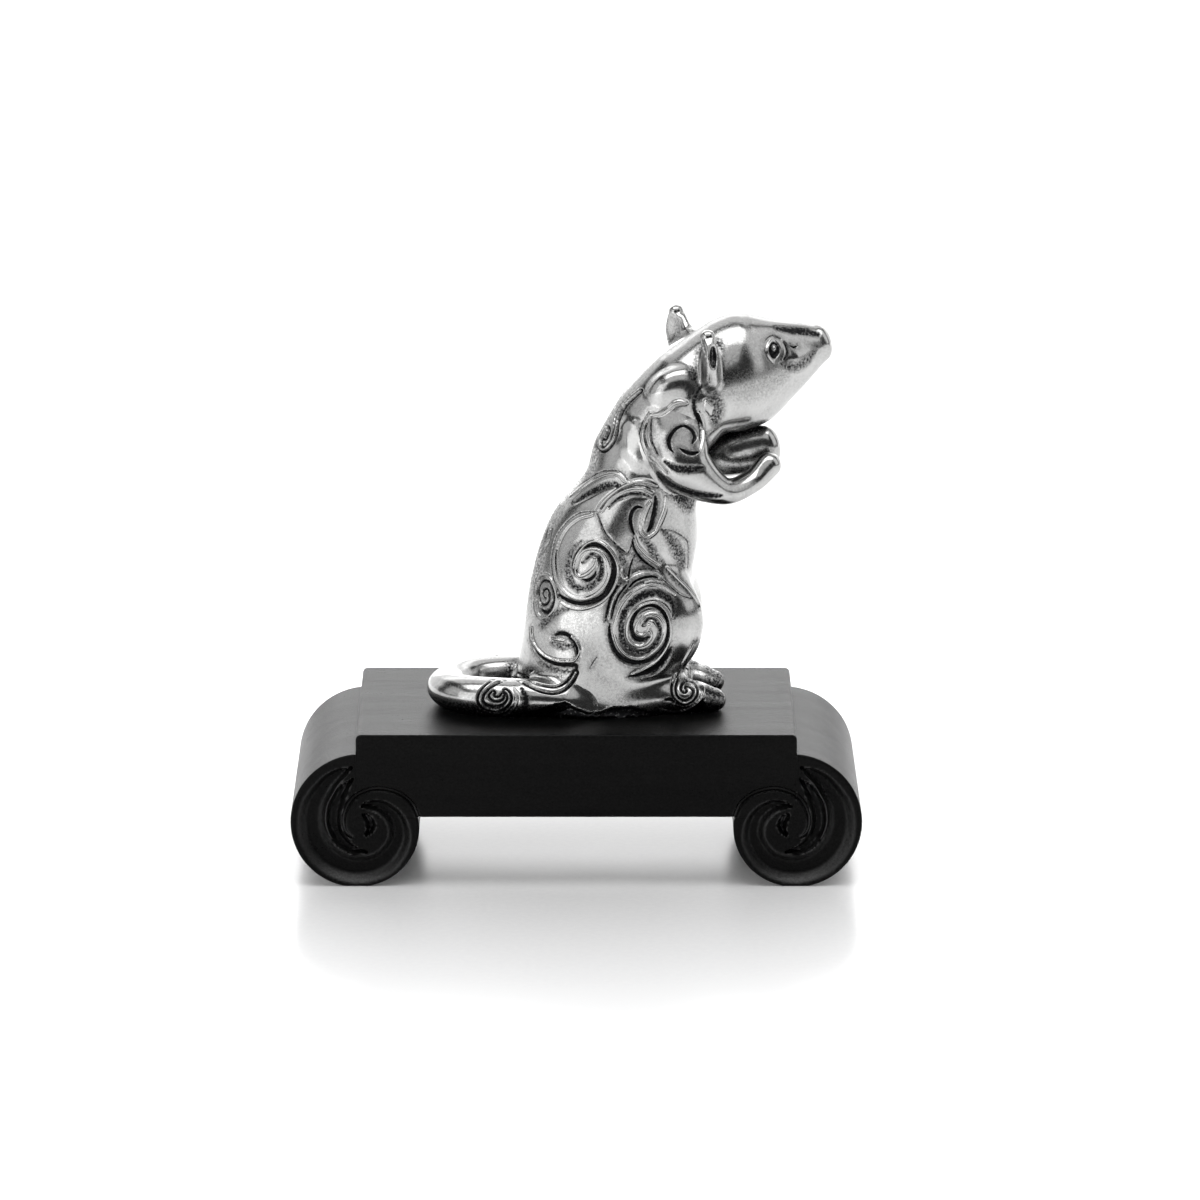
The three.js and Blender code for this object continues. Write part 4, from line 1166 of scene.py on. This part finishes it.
CAST_GRAIN_BUMP, CAST_RIPPLE_BUMP = (0.4, 0.000012), (0.3, 0.00003)
PATINA_AND_SHADE_SPECKS, SOLID_PATINA_AND_SHADE, SOLID_PATINA_AND_SHADE_POWER = (0.36, 0.64, 0.35, 1.6), 0.55, 3
FILM, FILM_GRAIN = (0.4, 0.7, 0.05, 0.34), (0.38, 0.62, 0.2, 1)
PATINA_AND_SHADE_ROUGHNESS, GRAIN_ROUGHNESS = (0, 1, 0.15, 0.5), (0.3, 0.7, -0.03, 0.06)
BUFFED_ROUGHNESS = (-1, 0, 0.14, 0)
WOOD_GRAIN, WOOD_SPECKLE = (260, 5, 0.6, (0.12, 1, 1)), (2600, 3, 0.7)
WOOD_GRAIN_BUMP, WOOD_SPECKLE_BUMP = (0.25, 0.00004), (0.8, 0.00013)
LACQUER_WEAR = (0.35, 0.7, 0, 1)
LACQUER_SHINE, SPECKLE_SHINE = (0, 1, 0.1, 0.65), (0.3, 0.7, 0.72, 1.28)
LACQUER_ROUGHNESS, SPECKLE_ROUGHNESS = (0.3, 0.7, 0.3, 0.36), (0.3, 0.7, -0.05, 0.05)
TARNISH, TARNISHED = (500, 4, 0.6), (0.45, 0.75, 0, 1)
TURNING, TURNED, TURNING_BUMP = (900, 2, 0.5, (1, 1, 12)), (0.3, 0.7), (0.2, 0.00001)
SMOOTHER, ROUGHER = 0.06, 0.1
BEECH_RINGS, BEECH_RINGED = (420, 4, 0.6, (0.1, 1, 1)), (0.35, 0.65, 0, 1)
BEECH_FLECKS, BEECH_FLECKED = (1500, 2, 0.6, (0.25, 1, 1)), (0.58, 0.7, 0, 0.5)
BEECH_ROUGHNESS, BEECH_BUMP = (0.3, 0.7, 0.55, 0.68), (0.3, 0.00003)
PAPER_GRAIN, PAPER_GRAINED, PAPER_ROUGHNESS = (900, 3), (0.3, 0.7, 0, 1), (0.3, 0.7, 0.2, 0.26)


class Shading:
    """A node tree under construction, with short calls for the nodes that the materials share."""

    def __init__(self, name):
        self.material = bpy.data.materials.new(name)
        self.material.use_nodes = True
        self.tree = self.material.node_tree
        self.tree.nodes.clear()
        self.output = self.tree.nodes.new("ShaderNodeOutputMaterial")
        self.place = self.tree.nodes.new("ShaderNodeTexCoord").outputs["Object"]

    def link(self, source, target):
        self.tree.links.new(source, target)

    def add(self, kind, inputs=(), **settings):
        node = self.tree.nodes.new(kind)
        for key, value in settings.items():
            setattr(node, key, value)
        for key, value in dict(inputs).items():
            if isinstance(value, bpy.types.NodeSocket):
                self.link(value, node.inputs[key])
            else:
                node.inputs[key].default_value = value
        return node

    def noise(self, scale, detail=3, roughness=0.5, stretch=(1, 1, 1)):
        place = self.add("ShaderNodeMapping", {"Vector": self.place, "Scale": stretch}).outputs[0]
        return self.add("ShaderNodeTexNoise", {
            "Vector": place, "Scale": scale, "Detail": detail, "Roughness": roughness,
        }).outputs["Fac"]

    def ramp(self, value, low, high, to_low, to_high):
        return self.add("ShaderNodeMapRange", {
            "Value": value, "From Min": low, "From Max": high, "To Min": to_low, "To Max": to_high,
        }).outputs[0]

    def maths(self, operation, a, b):
        return self.add("ShaderNodeMath", {0: a, 1: b}, operation=operation).outputs[0]

    def mix(self, share, first, second):
        node = self.add("ShaderNodeMix", {"Factor": share}, data_type="RGBA")
        for socket, value in ((node.inputs[6], first), (node.inputs[7], second)):
            if isinstance(value, bpy.types.NodeSocket):
                self.link(value, socket)
            else:
                socket.default_value = (*value, 1)
        return node.outputs[2]

    def bump(self, height, strength, distance, normal=None):
        inputs = {"Height": height, "Strength": strength, "Distance": distance}
        if normal is not None:
            inputs["Normal"] = normal
        return self.add("ShaderNodeBump", inputs).outputs[0]

    def surface(self, inputs):
        shader = self.add("ShaderNodeBsdfPrincipled", inputs)
        self.link(shader.outputs[0], self.output.inputs["Surface"])
        return self.material


def pewter():
    """Antiqued pewter: dark and dull in the cuts and where shade is painted, buffed on the ridges, with a
    fine cast grain.
    """
    s = Shading("pewter")
    patina_shade_and_shine = s.add("ShaderNodeAttribute", attribute_name="patina_shade_and_shine").outputs["Fac"]
    grain = s.noise(*CAST_GRAIN)
    cloud = s.noise(*CAST_CLOUD)
    # The patina attribute holds painted shade as well as patina, and both darken the colour here.
    held = s.ramp(patina_shade_and_shine, *FULL)
    specks = s.maths("MULTIPLY", held, s.ramp(grain, *PATINA_AND_SHADE_SPECKS))
    film = s.maths("MULTIPLY", s.ramp(cloud, *FILM), s.ramp(grain, *FILM_GRAIN))
    solid = s.maths("MULTIPLY", s.maths("POWER", held, SOLID_PATINA_AND_SHADE_POWER), SOLID_PATINA_AND_SHADE)
    dark = s.maths("MINIMUM", s.maths("MAXIMUM", s.maths("ADD", specks, solid), film), 1)
    colour = s.mix(dark, PEWTER, PEWTER_DARK)
    buffed = s.ramp(patina_shade_and_shine, *BUFFED_ROUGHNESS)
    rough = s.maths("ADD", s.ramp(dark, *PATINA_AND_SHADE_ROUGHNESS), s.ramp(grain, *GRAIN_ROUGHNESS))
    rough = s.maths("ADD", rough, buffed)
    ripple = s.bump(s.noise(*CAST_RIPPLE), *CAST_RIPPLE_BUMP)
    normal = s.bump(grain, *CAST_GRAIN_BUMP, ripple)
    return s.surface({"Base Color": colour, "Metallic": 1, "Roughness": rough, "Normal": normal})


def black_wood():
    """Black-stained wood under a satin lacquer, with a little of the grain and the brush left in it."""
    s = Shading("black_wood")
    grain = s.noise(*WOOD_GRAIN)
    speckle = s.noise(*WOOD_SPECKLE)
    colour = s.mix(s.ramp(grain, *LACQUER_WEAR), LACQUER, LACQUER_WORN)
    rubbed = s.ramp(s.add("ShaderNodeAttribute", attribute_name="patina_shade_and_shine").outputs["Fac"], *LACQUER_SHINE)
    rubbed = s.maths("MULTIPLY", rubbed, s.ramp(speckle, *SPECKLE_SHINE))
    rough = s.maths("ADD", s.ramp(grain, *LACQUER_ROUGHNESS), s.ramp(speckle, *SPECKLE_ROUGHNESS))
    pores = s.bump(grain, *WOOD_GRAIN_BUMP)
    normal = s.bump(speckle, *WOOD_SPECKLE_BUMP, pores)
    return s.surface({
        "Base Color": colour, "Roughness": rough, "Specular IOR Level": rubbed, "Normal": normal,
    })


def turned_metal(name, bright, back_shade, roughness):
    """Metal with the marks of turning, a little tarnished."""
    s = Shading(name)
    marks = s.noise(*TURNING)
    colour = s.mix(s.ramp(s.noise(*TARNISH), *TARNISHED), bright, back_shade)
    rough = s.ramp(marks, *TURNED, roughness - SMOOTHER, roughness + ROUGHER)
    return s.surface({
        "Base Color": colour, "Metallic": 1, "Roughness": rough, "Normal": s.bump(marks, *TURNING_BUMP),
    })


def beech():
    s = Shading("beech")
    rings = s.noise(*BEECH_RINGS)
    flecks = s.noise(*BEECH_FLECKS)
    base = s.mix(s.ramp(rings, *BEECH_RINGED), BEECH, BEECH_RING)
    colour = s.mix(s.ramp(flecks, *BEECH_FLECKED), base, BEECH_FLECK)
    return s.surface({
        "Base Color": colour, "Roughness": s.ramp(rings, *BEECH_ROUGHNESS),
        "Normal": s.bump(flecks, *BEECH_BUMP),
    })


# Plinth

def scroll_point(degrees, radius):
    angle = math.radians(degrees)
    return (-SCROLL_CENTRE_X + radius * math.cos(angle), SCROLL_CENTRE_HEIGHT + radius * math.sin(angle))


def scroll_edge(degrees):
    return scroll_point(degrees, SCROLL_TOP_RADIUS - SCROLL_SHRINK_PER_TURN * (degrees - 90) / 360)


volute = Ornament([
    ("volute_" + kind, [(*scroll_point(degrees, radius), half) for degrees, radius, half in points])
    for kind, points in VOLUTE.values()
])


def volute_depth(flat):
    left = np.column_stack([-np.abs(flat[:, 0]), flat[:, 1]])
    return -volute.relief(left)[0]


SLOPE_REACH = 0.1
RUBBED_SLOPES = (0.35, 1)


def volute_shine(flat):
    """Where handling has rubbed the carving: on its slopes."""
    rise = [
        volute_depth(flat + np.array(step)) - volute_depth(flat - np.array(step))
        for step in ((SLOPE_REACH, 0), (0, SLOPE_REACH))
    ]
    return smooth_step(*RUBBED_SLOPES, np.hypot(*rise) / (2 * SLOPE_REACH))


OUTLINE_STEP = 0.4
CARVED_STEP = 0.3
PLAIN_STEP = 4
CARVED_REACH = 12.6
LINE_OFFSETS = (-1.3, -0.8, -0.35, 0.35, 0.8, 1.3)
EDGE_GAP = 0.6 * CARVED_STEP
LINE_GAP = 0.7 * CARVED_STEP
# Degrees round the scroll: where its curve is drawn from and to, its top, and its side under the block.
SCROLL_FROM, SCROLL_TO, SCROLL_CURVE_STEP, SCROLL_CURVE_SKIP = 80, 400, 0.25, 7
SCROLL_TOP_AT = 92
SCROLL_INSIDE_AT = 368
NEAR_JOINT = 0.2
ON_LINE = 0.01
CORNER_STEPS = 5
EDGE_ANGLES = (0, 30, 60, 90)
SAME_POINT = 1e-6


def walked(corners, step):
    """Points along a closed outline, its corners among them."""
    points = []
    for (x0, z0), (x1, z1) in zip(corners, corners[1:] + corners[:1]):
        count = max(1, round(math.hypot(x1 - x0, z1 - z0) / step))
        points += [(x0 + (x1 - x0) * i / count, z0 + (z1 - z0) * i / count) for i in range(count)]
    return np.array(points)


def block_outline():
    r = BLOCK_CORNER_RADIUS
    arc = [(r * math.sin(a), r * math.cos(a)) for a in np.linspace(math.pi / 2, 0, CORNER_STEPS + 1)]
    x, top = BLOCK_HALF_LENGTH, PLATFORM
    right = [(x - r + dx, top - r + dz) for dx, dz in arc]
    left = [(-px, pz) for px, pz in reversed(right)]
    outline = walked([(-x, BLOCK_UNDERSIDE), (x, BLOCK_UNDERSIDE)] + right + left, OUTLINE_STEP)
    scroll_top = scroll_edge(SCROLL_TOP_AT)[1]
    scroll_inside = -scroll_edge(SCROLL_INSIDE_AT)[0]
    out, height = np.abs(outline[:, 0]), outline[:, 1]
    at_end = (out > x - ON_LINE) & (height < scroll_top + NEAR_JOINT)
    under = (height < BLOCK_UNDERSIDE + ON_LINE) & (out > scroll_inside - NEAR_JOINT)
    return outline, np.where(at_end | under, JOINT_ROUNDING, BLOCK_ROUNDING)


def scroll_outline():
    x = -BLOCK_HALF_LENGTH - JOINT_ROUNDING
    z = BLOCK_UNDERSIDE - JOINT_ROUNDING
    arc = [scroll_edge(d) for d in np.arange(SCROLL_FROM, SCROLL_TO, SCROLL_CURVE_STEP)]
    arc = [(px, max(pz, 0)) for px, pz in arc if px < x or pz < z]
    arc[0] = (x, arc[0][1])
    arc[-1] = (arc[-1][0], z)
    outline = walked(arc[:-1:SCROLL_CURVE_SKIP] + [arc[-1], (x, z)], OUTLINE_STEP)
    joint = (outline[:, 0] > x - ON_LINE) & (outline[:, 1] > z - ON_LINE)
    return outline, np.where(joint, JOINT_ROUNDING, SCROLL_ROUNDING)


def within(points, outline):
    """Which points lie inside a closed outline."""
    ahead = np.roll(outline, -1, axis=0)
    x, z = points[:, :1], points[:, 1:]
    spans = (outline[:, 1] > z) != (ahead[:, 1] > z)
    rise = np.where(ahead[:, 1] == outline[:, 1], 1, ahead[:, 1] - outline[:, 1])
    crossing = outline[:, 0] + (z - outline[:, 1]) * (ahead[:, 0] - outline[:, 0]) / rise
    return ((spans & (x < crossing)).sum(1) % 2) == 1


def gaps(points, others, at_once=200):
    """How far each point is from the nearest of the others."""
    result = np.full(len(points), np.inf)
    for start in range(0, len(others), at_once):
        part = others[start : start + at_once]
        result = np.minimum(result, np.linalg.norm(points[:, None] - part[None], axis=2).min(1))
    return result


def stroke_points(outline):
    """Points along the sharp lines of the volutes and beside them, so that the mesh follows their edges."""
    rows = []
    for stroke in volute.strokes:
        if stroke.kind in SOFT_KINDS:
            continue
        line = stroke.rows[::2]
        across = np.column_stack([-stroke.along[::2, 1], stroke.along[::2, 0]])
        rows += [line[:, :2] + share * line[:, 2:] * across for share in LINE_OFFSETS]
    left = np.concatenate(rows)
    points = np.concatenate([left, left * (-1, 1)])
    points = points[within(points, outline)]
    return points[gaps(points, outline) > EDGE_GAP]


def face_points(outline):
    """Points inside an outline: close together where it is carved, few elsewhere."""
    low, high = outline.min(0), outline.max(0)
    chosen = []
    for step, carved_part in ((CARVED_STEP, True), (PLAIN_STEP, False)):
        columns, rows = (np.arange(low[k] + step / 2, high[k], step) for k in range(2))
        grid = np.stack(np.meshgrid(columns, rows), -1)
        grid[1::2, :, 0] += step / 2
        grid = grid.reshape(-1, 2)
        centre = np.array([SCROLL_CENTRE_X, SCROLL_CENTRE_HEIGHT])
        reach = np.linalg.norm(np.abs(grid) - centre, axis=1)
        grid = grid[(reach < CARVED_REACH) == carved_part]
        grid = grid[within(grid, outline)]
        grid = grid[gaps(grid, outline) > EDGE_GAP]
        if carved_part:
            lines = stroke_points(outline)
            chosen.append(lines)
            grid = grid[gaps(grid, lines) > LINE_GAP]
        chosen.append(grid)
    return np.concatenate(chosen)


def band(first, second, count):
    """Quads between two closed loops of points."""
    steps = [(i, (i + 1) % count) for i in range(count)]
    return [(first + i, first + j, second + j, second + i) for i, j in steps]


def plinth_plate(name, outline, radii):
    """A plate as deep as the plinth, with rounded edges and its front and back carved."""
    along = unit(np.roll(outline, -1, axis=0) - outline)
    inward = np.column_stack([-along[:, 1], along[:, 0]])
    before = np.roll(inward, 1, axis=0)
    miter = (inward + before) / (1 + (inward * before).sum(1, keepdims=True))
    loops = [
        (outline + miter * (radii * (1 - math.cos(angle)))[:, None], radii * (1 - math.sin(angle)))
        for angle in np.radians(EDGE_ANGLES)
    ]
    face_edge = loops[-1][0]
    flat = np.concatenate([face_edge, face_points(face_edge)])
    rim = list(range(len(face_edge)))
    _, _, made, origins, _, _ = delaunay_2d_cdt([Vector(p) for p in flat], [], [rim], 1, SAME_POINT)
    triangles = np.array([[origins[i][0] for i in face] for face in made])
    n, inner = len(outline), len(loops) - 1
    points, faces, shine = [], [], []
    for side in (-1, 1):
        start = sum(len(p) for p in points)
        rings = loops[:-1] + [(flat, np.concatenate([loops[-1][1], np.zeros(len(flat) - n)]))]
        for shape, depth in rings:
            y = side * (HALF_DEPTH - depth - volute_depth(shape))
            points.append(np.column_stack([shape[:, 0], y, shape[:, 1]]))
            shine.append(volute_shine(shape))
        faces += (triangles + start + inner * n).tolist()
        for ring in range(inner):
            faces += band(start + ring * n, start + (ring + 1) * n, n)
    back = inner * n + len(flat)
    faces += band(0, back, n)
    corners = [start + ring for start in (0, back) for ring in (0, inner * n)]
    creases = {frozenset((c + i, c + (i + 1) % n)) for c in corners for i in range(n)}
    return sharpened(mesh_object(name, np.concatenate(points), faces, np.concatenate(shine)), creases)


def sharpened(piece, creases):
    """The piece with its steep edges and the given ones shaded as sharp."""
    with edited(piece.data) as grid:
        bmesh.ops.recalc_face_normals(grid, faces=grid.faces[:])
        for edge in grid.edges:
            soft = len(edge.link_faces) == 2 and edge.calc_face_angle() < math.radians(SHARP_ANGLE)
            edge.smooth = soft and frozenset(v.index for v in edge.verts) not in creases
    return piece


def mirrored_copy(piece, name):
    mesh = piece.data.copy()
    with edited(mesh) as grid:
        for vertex in grid.verts:
            vertex.co.x = -vertex.co.x
        bmesh.ops.reverse_faces(grid, faces=grid.faces[:])
    return add_object(name, mesh)


def bore_cutter(x, radius, low, high):
    mesh = bpy.data.meshes.new("bore")
    with edited(mesh) as grid:
        bmesh.ops.create_cone(
            grid, cap_ends=True, segments=BORE_SIDES, radius1=radius * MM, radius2=radius * MM,
            depth=(high - low) * MM,
        )
        bmesh.ops.translate(grid, verts=grid.verts, vec=Vector((x, 0, (low + high) / 2)) * MM)
    return add_object("bore", mesh)


def bored(piece):
    """Screw holes and their counterbores, cut up through the block."""
    floor = BLOCK_UNDERSIDE + COUNTERBORE_DEPTH
    bores = ((COUNTERBORE_RADIUS, BLOCK_UNDERSIDE - BORE_OVERRUN, floor),
             (SCREW_HOLE_RADIUS, floor - BORE_OVERLAP, PLATFORM + BORE_OVERRUN))
    cutters = [bore_cutter(x, *bore) for x in SCREW_PLACES for bore in bores]
    for cutter in cutters:
        cut = piece.modifiers.new("bore", "BOOLEAN")
        cut.object = cutter
        cut.solver = "EXACT"
    done = piece.evaluated_get(bpy.context.evaluated_depsgraph_get())
    mesh = bpy.data.meshes.new_from_object(done)
    piece.modifiers.clear()
    piece.data = mesh
    for cutter in cutters:
        bpy.data.objects.remove(cutter)
    return piece


def build_plinth(material):
    block = bored(plinth_plate("block", *block_outline()))
    left = plinth_plate("scroll_left", *scroll_outline())
    right = mirrored_copy(left, "scroll_right")
    for piece, node in ((block, "plinth_block"), (left, "left_scroll"), (right, "right_scroll")):
        finish_piece(piece, [node], material)


# Rat

FIGURE_BOX = ((-13.5, -19, 26.2), (46.5, 19, 101))
NEAR_LEG_BOX = ((9, -17, 62), (39, 2, 88))
FAR_LEG_BOX = ((9, -2, 62), (39, 17, 88))
TAIL_BOX = ((-28.5, -17.5, 26.2), (6.5, 13, 36.5))
EAR_BOX = ((-6, -7, -5), (6, 7, 12))
# How much of the patina and painted shade in the hollows is kept.
NEAR_LEG_HOLLOW_SHARE, FAR_LEG_HOLLOW_SHARE, TAIL_HOLLOW_SHARE = 0.8, 0.35, 1
# The scoop in each ear: its turn, its place from the ear's root (along, outwards, up), its half sizes.
EAR_SCOOPS = {
    -1: (0, (0.35, 3, 5), (0.75, 2.3, 2)),
    1: (34, (-1.9, -0.2, 4.4), (1.15, 2.5, 3)),
}


def build_ear(name, node, side, lift, material):
    stations = ear_stations(side, lift)
    root = np.array([stations[0][0], stations[0][1], PLATFORM + stations[0][2]])
    turn, place, radii = EAR_SCOOPS[side]
    turn = math.radians(turn)
    axes = np.array([[math.cos(turn), math.sin(turn), 0], [-math.sin(turn), math.cos(turn), 0], [0, 0, 1]])
    scoop = (root + np.array(place) * (1, side, 1) @ axes, axes, np.array(radii))
    field = limb_field(ears[side], EAR_FILLETS[side], scoop)
    mesh = cast(field, *(root + np.array(EAR_BOX)), EAR_STEP, margins=())
    finish_piece(mesh_object(name, *mesh), [node], material)


def build_rat(material):
    whole = mesh_object("figure", *cast(seated_figure, *FIGURE_BOX, FIGURE_STEP))
    body = cut_at_neck(whole, "rat_body", False)
    skull = cut_at_neck(whole, "rat_head", True)
    bpy.data.objects.remove(whole)
    finish_piece(body, ["body_casting"], material)
    finish_piece(skull, ["head_casting"], material)
    for name, node, limb, fillet, box, hollow_share in (
        ("rat_right_foreleg", "right_foreleg", near_leg, LIMB_FILLET, NEAR_LEG_BOX, NEAR_LEG_HOLLOW_SHARE),
        ("rat_left_foreleg", "left_foreleg", far_leg, LIMB_FILLET, FAR_LEG_BOX, FAR_LEG_HOLLOW_SHARE),
        ("rat_tail", "tail", tail, TAIL_FILLET, TAIL_BOX, TAIL_HOLLOW_SHARE),
    ):
        field = limb_field(limb, fillet, on_head=False)
        mesh = cast(field, *box, LIMB_STEP, hollow_share=hollow_share)
        finish_piece(mesh_object(name, *mesh), [node], material)
    build_ear("rat_right_ear", "right_ear", -1, 0, material)
    build_ear("rat_left_ear", "left_ear", 1, LEFT_EAR_LIFT, material)


def dress_fittings(pewter_material):
    """Better materials for the solids that stay: what is inside the rat and under it."""
    steel = turned_metal("steel", STEEL, STEEL_DULL, STEEL_ROUGHNESS)
    brass = turned_metal("brass", BRASS, BRASS_DULL, BRASS_ROUGHNESS)
    materials = {
        "sole_plate": pewter_material, "insert": brass, "screw": steel, "washer": steel, "dowel": beech(),
    }
    for word, material in materials.items():
        for name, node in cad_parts.items():
            if word in name:
                node.data.materials.clear()
                node.data.materials.append(material)


# Stage, light and camera

FLOOR_HALF_WIDTH = 2.5
FLOOR_FRONT = -2.2
WALL_Y = 1.15
WALL_HEIGHT = 1.3
SWEEP_RADIUS = 0.35
SWEEP_STEPS = 16
# How brightly the camera and reflections see the paper glow, near the object and far from it, and where.
GLOW_NEAR = 0.02
GLOW_FLOOR = 0.55
GLOW_FAR = 1.0
GLOW_REACH = (0.03, 0.12)
GLOW_RISE = (0.4, 0.9)
CAMERA_TARGET = (0, 0, 0.0458)
CAMERA_DISTANCE = 1.31
CAMERA_ELEVATION = 14
CAMERA_LENS = 222.3
CAMERA_SENSOR = 36
CAMERA_SHIFT = 23.7 / 1200
# name: place, size, watts
SOFTBOXES = {
    "top": ((0, -0.13, 0.66), (0.8, 0.32), 2.5),
    "front": ((0, -0.55, 0.63), (1.0, 0.36), 0.75),
    "back": ((0, 0.42, 0.62), (0.9, 0.55), 1.4),
    "low_back": ((0, 0.62, 0.19), (0.56, 0.2), 0.8),
    "left": ((-0.64, -0.12, 0.32), (0.4, 0.5), 0.42),
    "front_left": ((-0.5, -0.52, 0.24), (0.42, 0.5), 0.95),
    "right": ((0.62, -0.05, 0.42), (0.45, 0.7), 0.85),
}
WORLD_LEVEL = 0.03


def white_paper():
    """White, a little glossy. The camera and reflections see it lit to white; the lamps light the rest."""
    s = Shading("white_paper")
    fibre = s.noise(*PAPER_GRAIN)
    paper = s.add("ShaderNodeBsdfPrincipled", {
        "Base Color": s.mix(s.ramp(fibre, *PAPER_GRAINED), PAPER, PAPER_FIBRE),
        "Roughness": s.ramp(fibre, *PAPER_ROUGHNESS),
    })
    ray = s.add("ShaderNodeLightPath").outputs
    seen = s.maths("ADD", ray["Is Camera Ray"], ray["Is Glossy Ray"])
    seen = s.maths("MINIMUM", s.maths("ADD", seen, ray["Is Transmission Ray"]), 1)
    away = s.add("ShaderNodeVectorMath", {0: s.place}, operation="LENGTH").outputs["Value"]
    level = s.maths("ADD", s.ramp(away, *GLOW_REACH, GLOW_NEAR, GLOW_FLOOR),
                    s.ramp(away, *GLOW_RISE, 0, GLOW_FAR - GLOW_FLOOR))
    glow = s.add("ShaderNodeEmission", {"Strength": s.maths("MULTIPLY", seen, level)})
    both = s.add("ShaderNodeAddShader", {0: paper.outputs[0], 1: glow.outputs[0]})
    s.link(both.outputs[0], s.output.inputs["Surface"])
    return s.material


def build_stage():
    profile = [(FLOOR_FRONT, 0), (WALL_Y - SWEEP_RADIUS, 0)]
    for angle in np.linspace(0, math.pi / 2, SWEEP_STEPS + 1)[1:]:
        along, up = 1 - math.sin(angle), 1 - math.cos(angle)
        profile.append((WALL_Y - SWEEP_RADIUS * along, SWEEP_RADIUS * up))
    profile.append((WALL_Y, WALL_HEIGHT))
    points = [(x / MM, y / MM, z / MM) for y, z in profile for x in (-FLOOR_HALF_WIDTH, FLOOR_HALF_WIDTH)]
    faces = [(2 * i, 2 * i + 1, 2 * i + 3, 2 * i + 2) for i in range(len(profile) - 1)]
    floor = mesh_object("sweep", points, faces)
    floor.data.materials.append(white_paper())


def aim(holder, place):
    """A lamp or camera put in its place and turned to the object."""
    holder.location = place
    holder.rotation_euler = (Vector(CAMERA_TARGET) - place).to_track_quat("-Z", "Y").to_euler()
    return holder


def build_light():
    for name, (place, size, watts) in SOFTBOXES.items():
        lamp = bpy.data.lights.new(name, "AREA")
        lamp.shape = "RECTANGLE"
        lamp.size, lamp.size_y = size
        lamp.energy = watts
        aim(add_object(name, lamp), Vector(place))
    world = bpy.data.worlds.new("studio")
    world.use_nodes = True
    background = world.node_tree.nodes["Background"]
    background.inputs["Color"].default_value = (1, 1, 1, 1)
    background.inputs["Strength"].default_value = WORLD_LEVEL
    bpy.context.scene.world = world


def build_camera():
    lens = bpy.data.cameras.new("camera")
    lens.lens = CAMERA_LENS
    lens.sensor_width = CAMERA_SENSOR
    lens.shift_x = CAMERA_SHIFT
    rise = math.radians(CAMERA_ELEVATION)
    back = Vector((0, -math.cos(rise), math.sin(rise)))
    place = Vector(CAMERA_TARGET) + CAMERA_DISTANCE * back
    bpy.context.scene.camera = aim(add_object("camera", lens), place)


bpy.context.scene.view_settings.view_transform = "Standard"
build_camera()
build_light()
build_stage()
build_plinth(black_wood())
rat_metal = pewter()
build_rat(rat_metal)
dress_fittings(rat_metal)
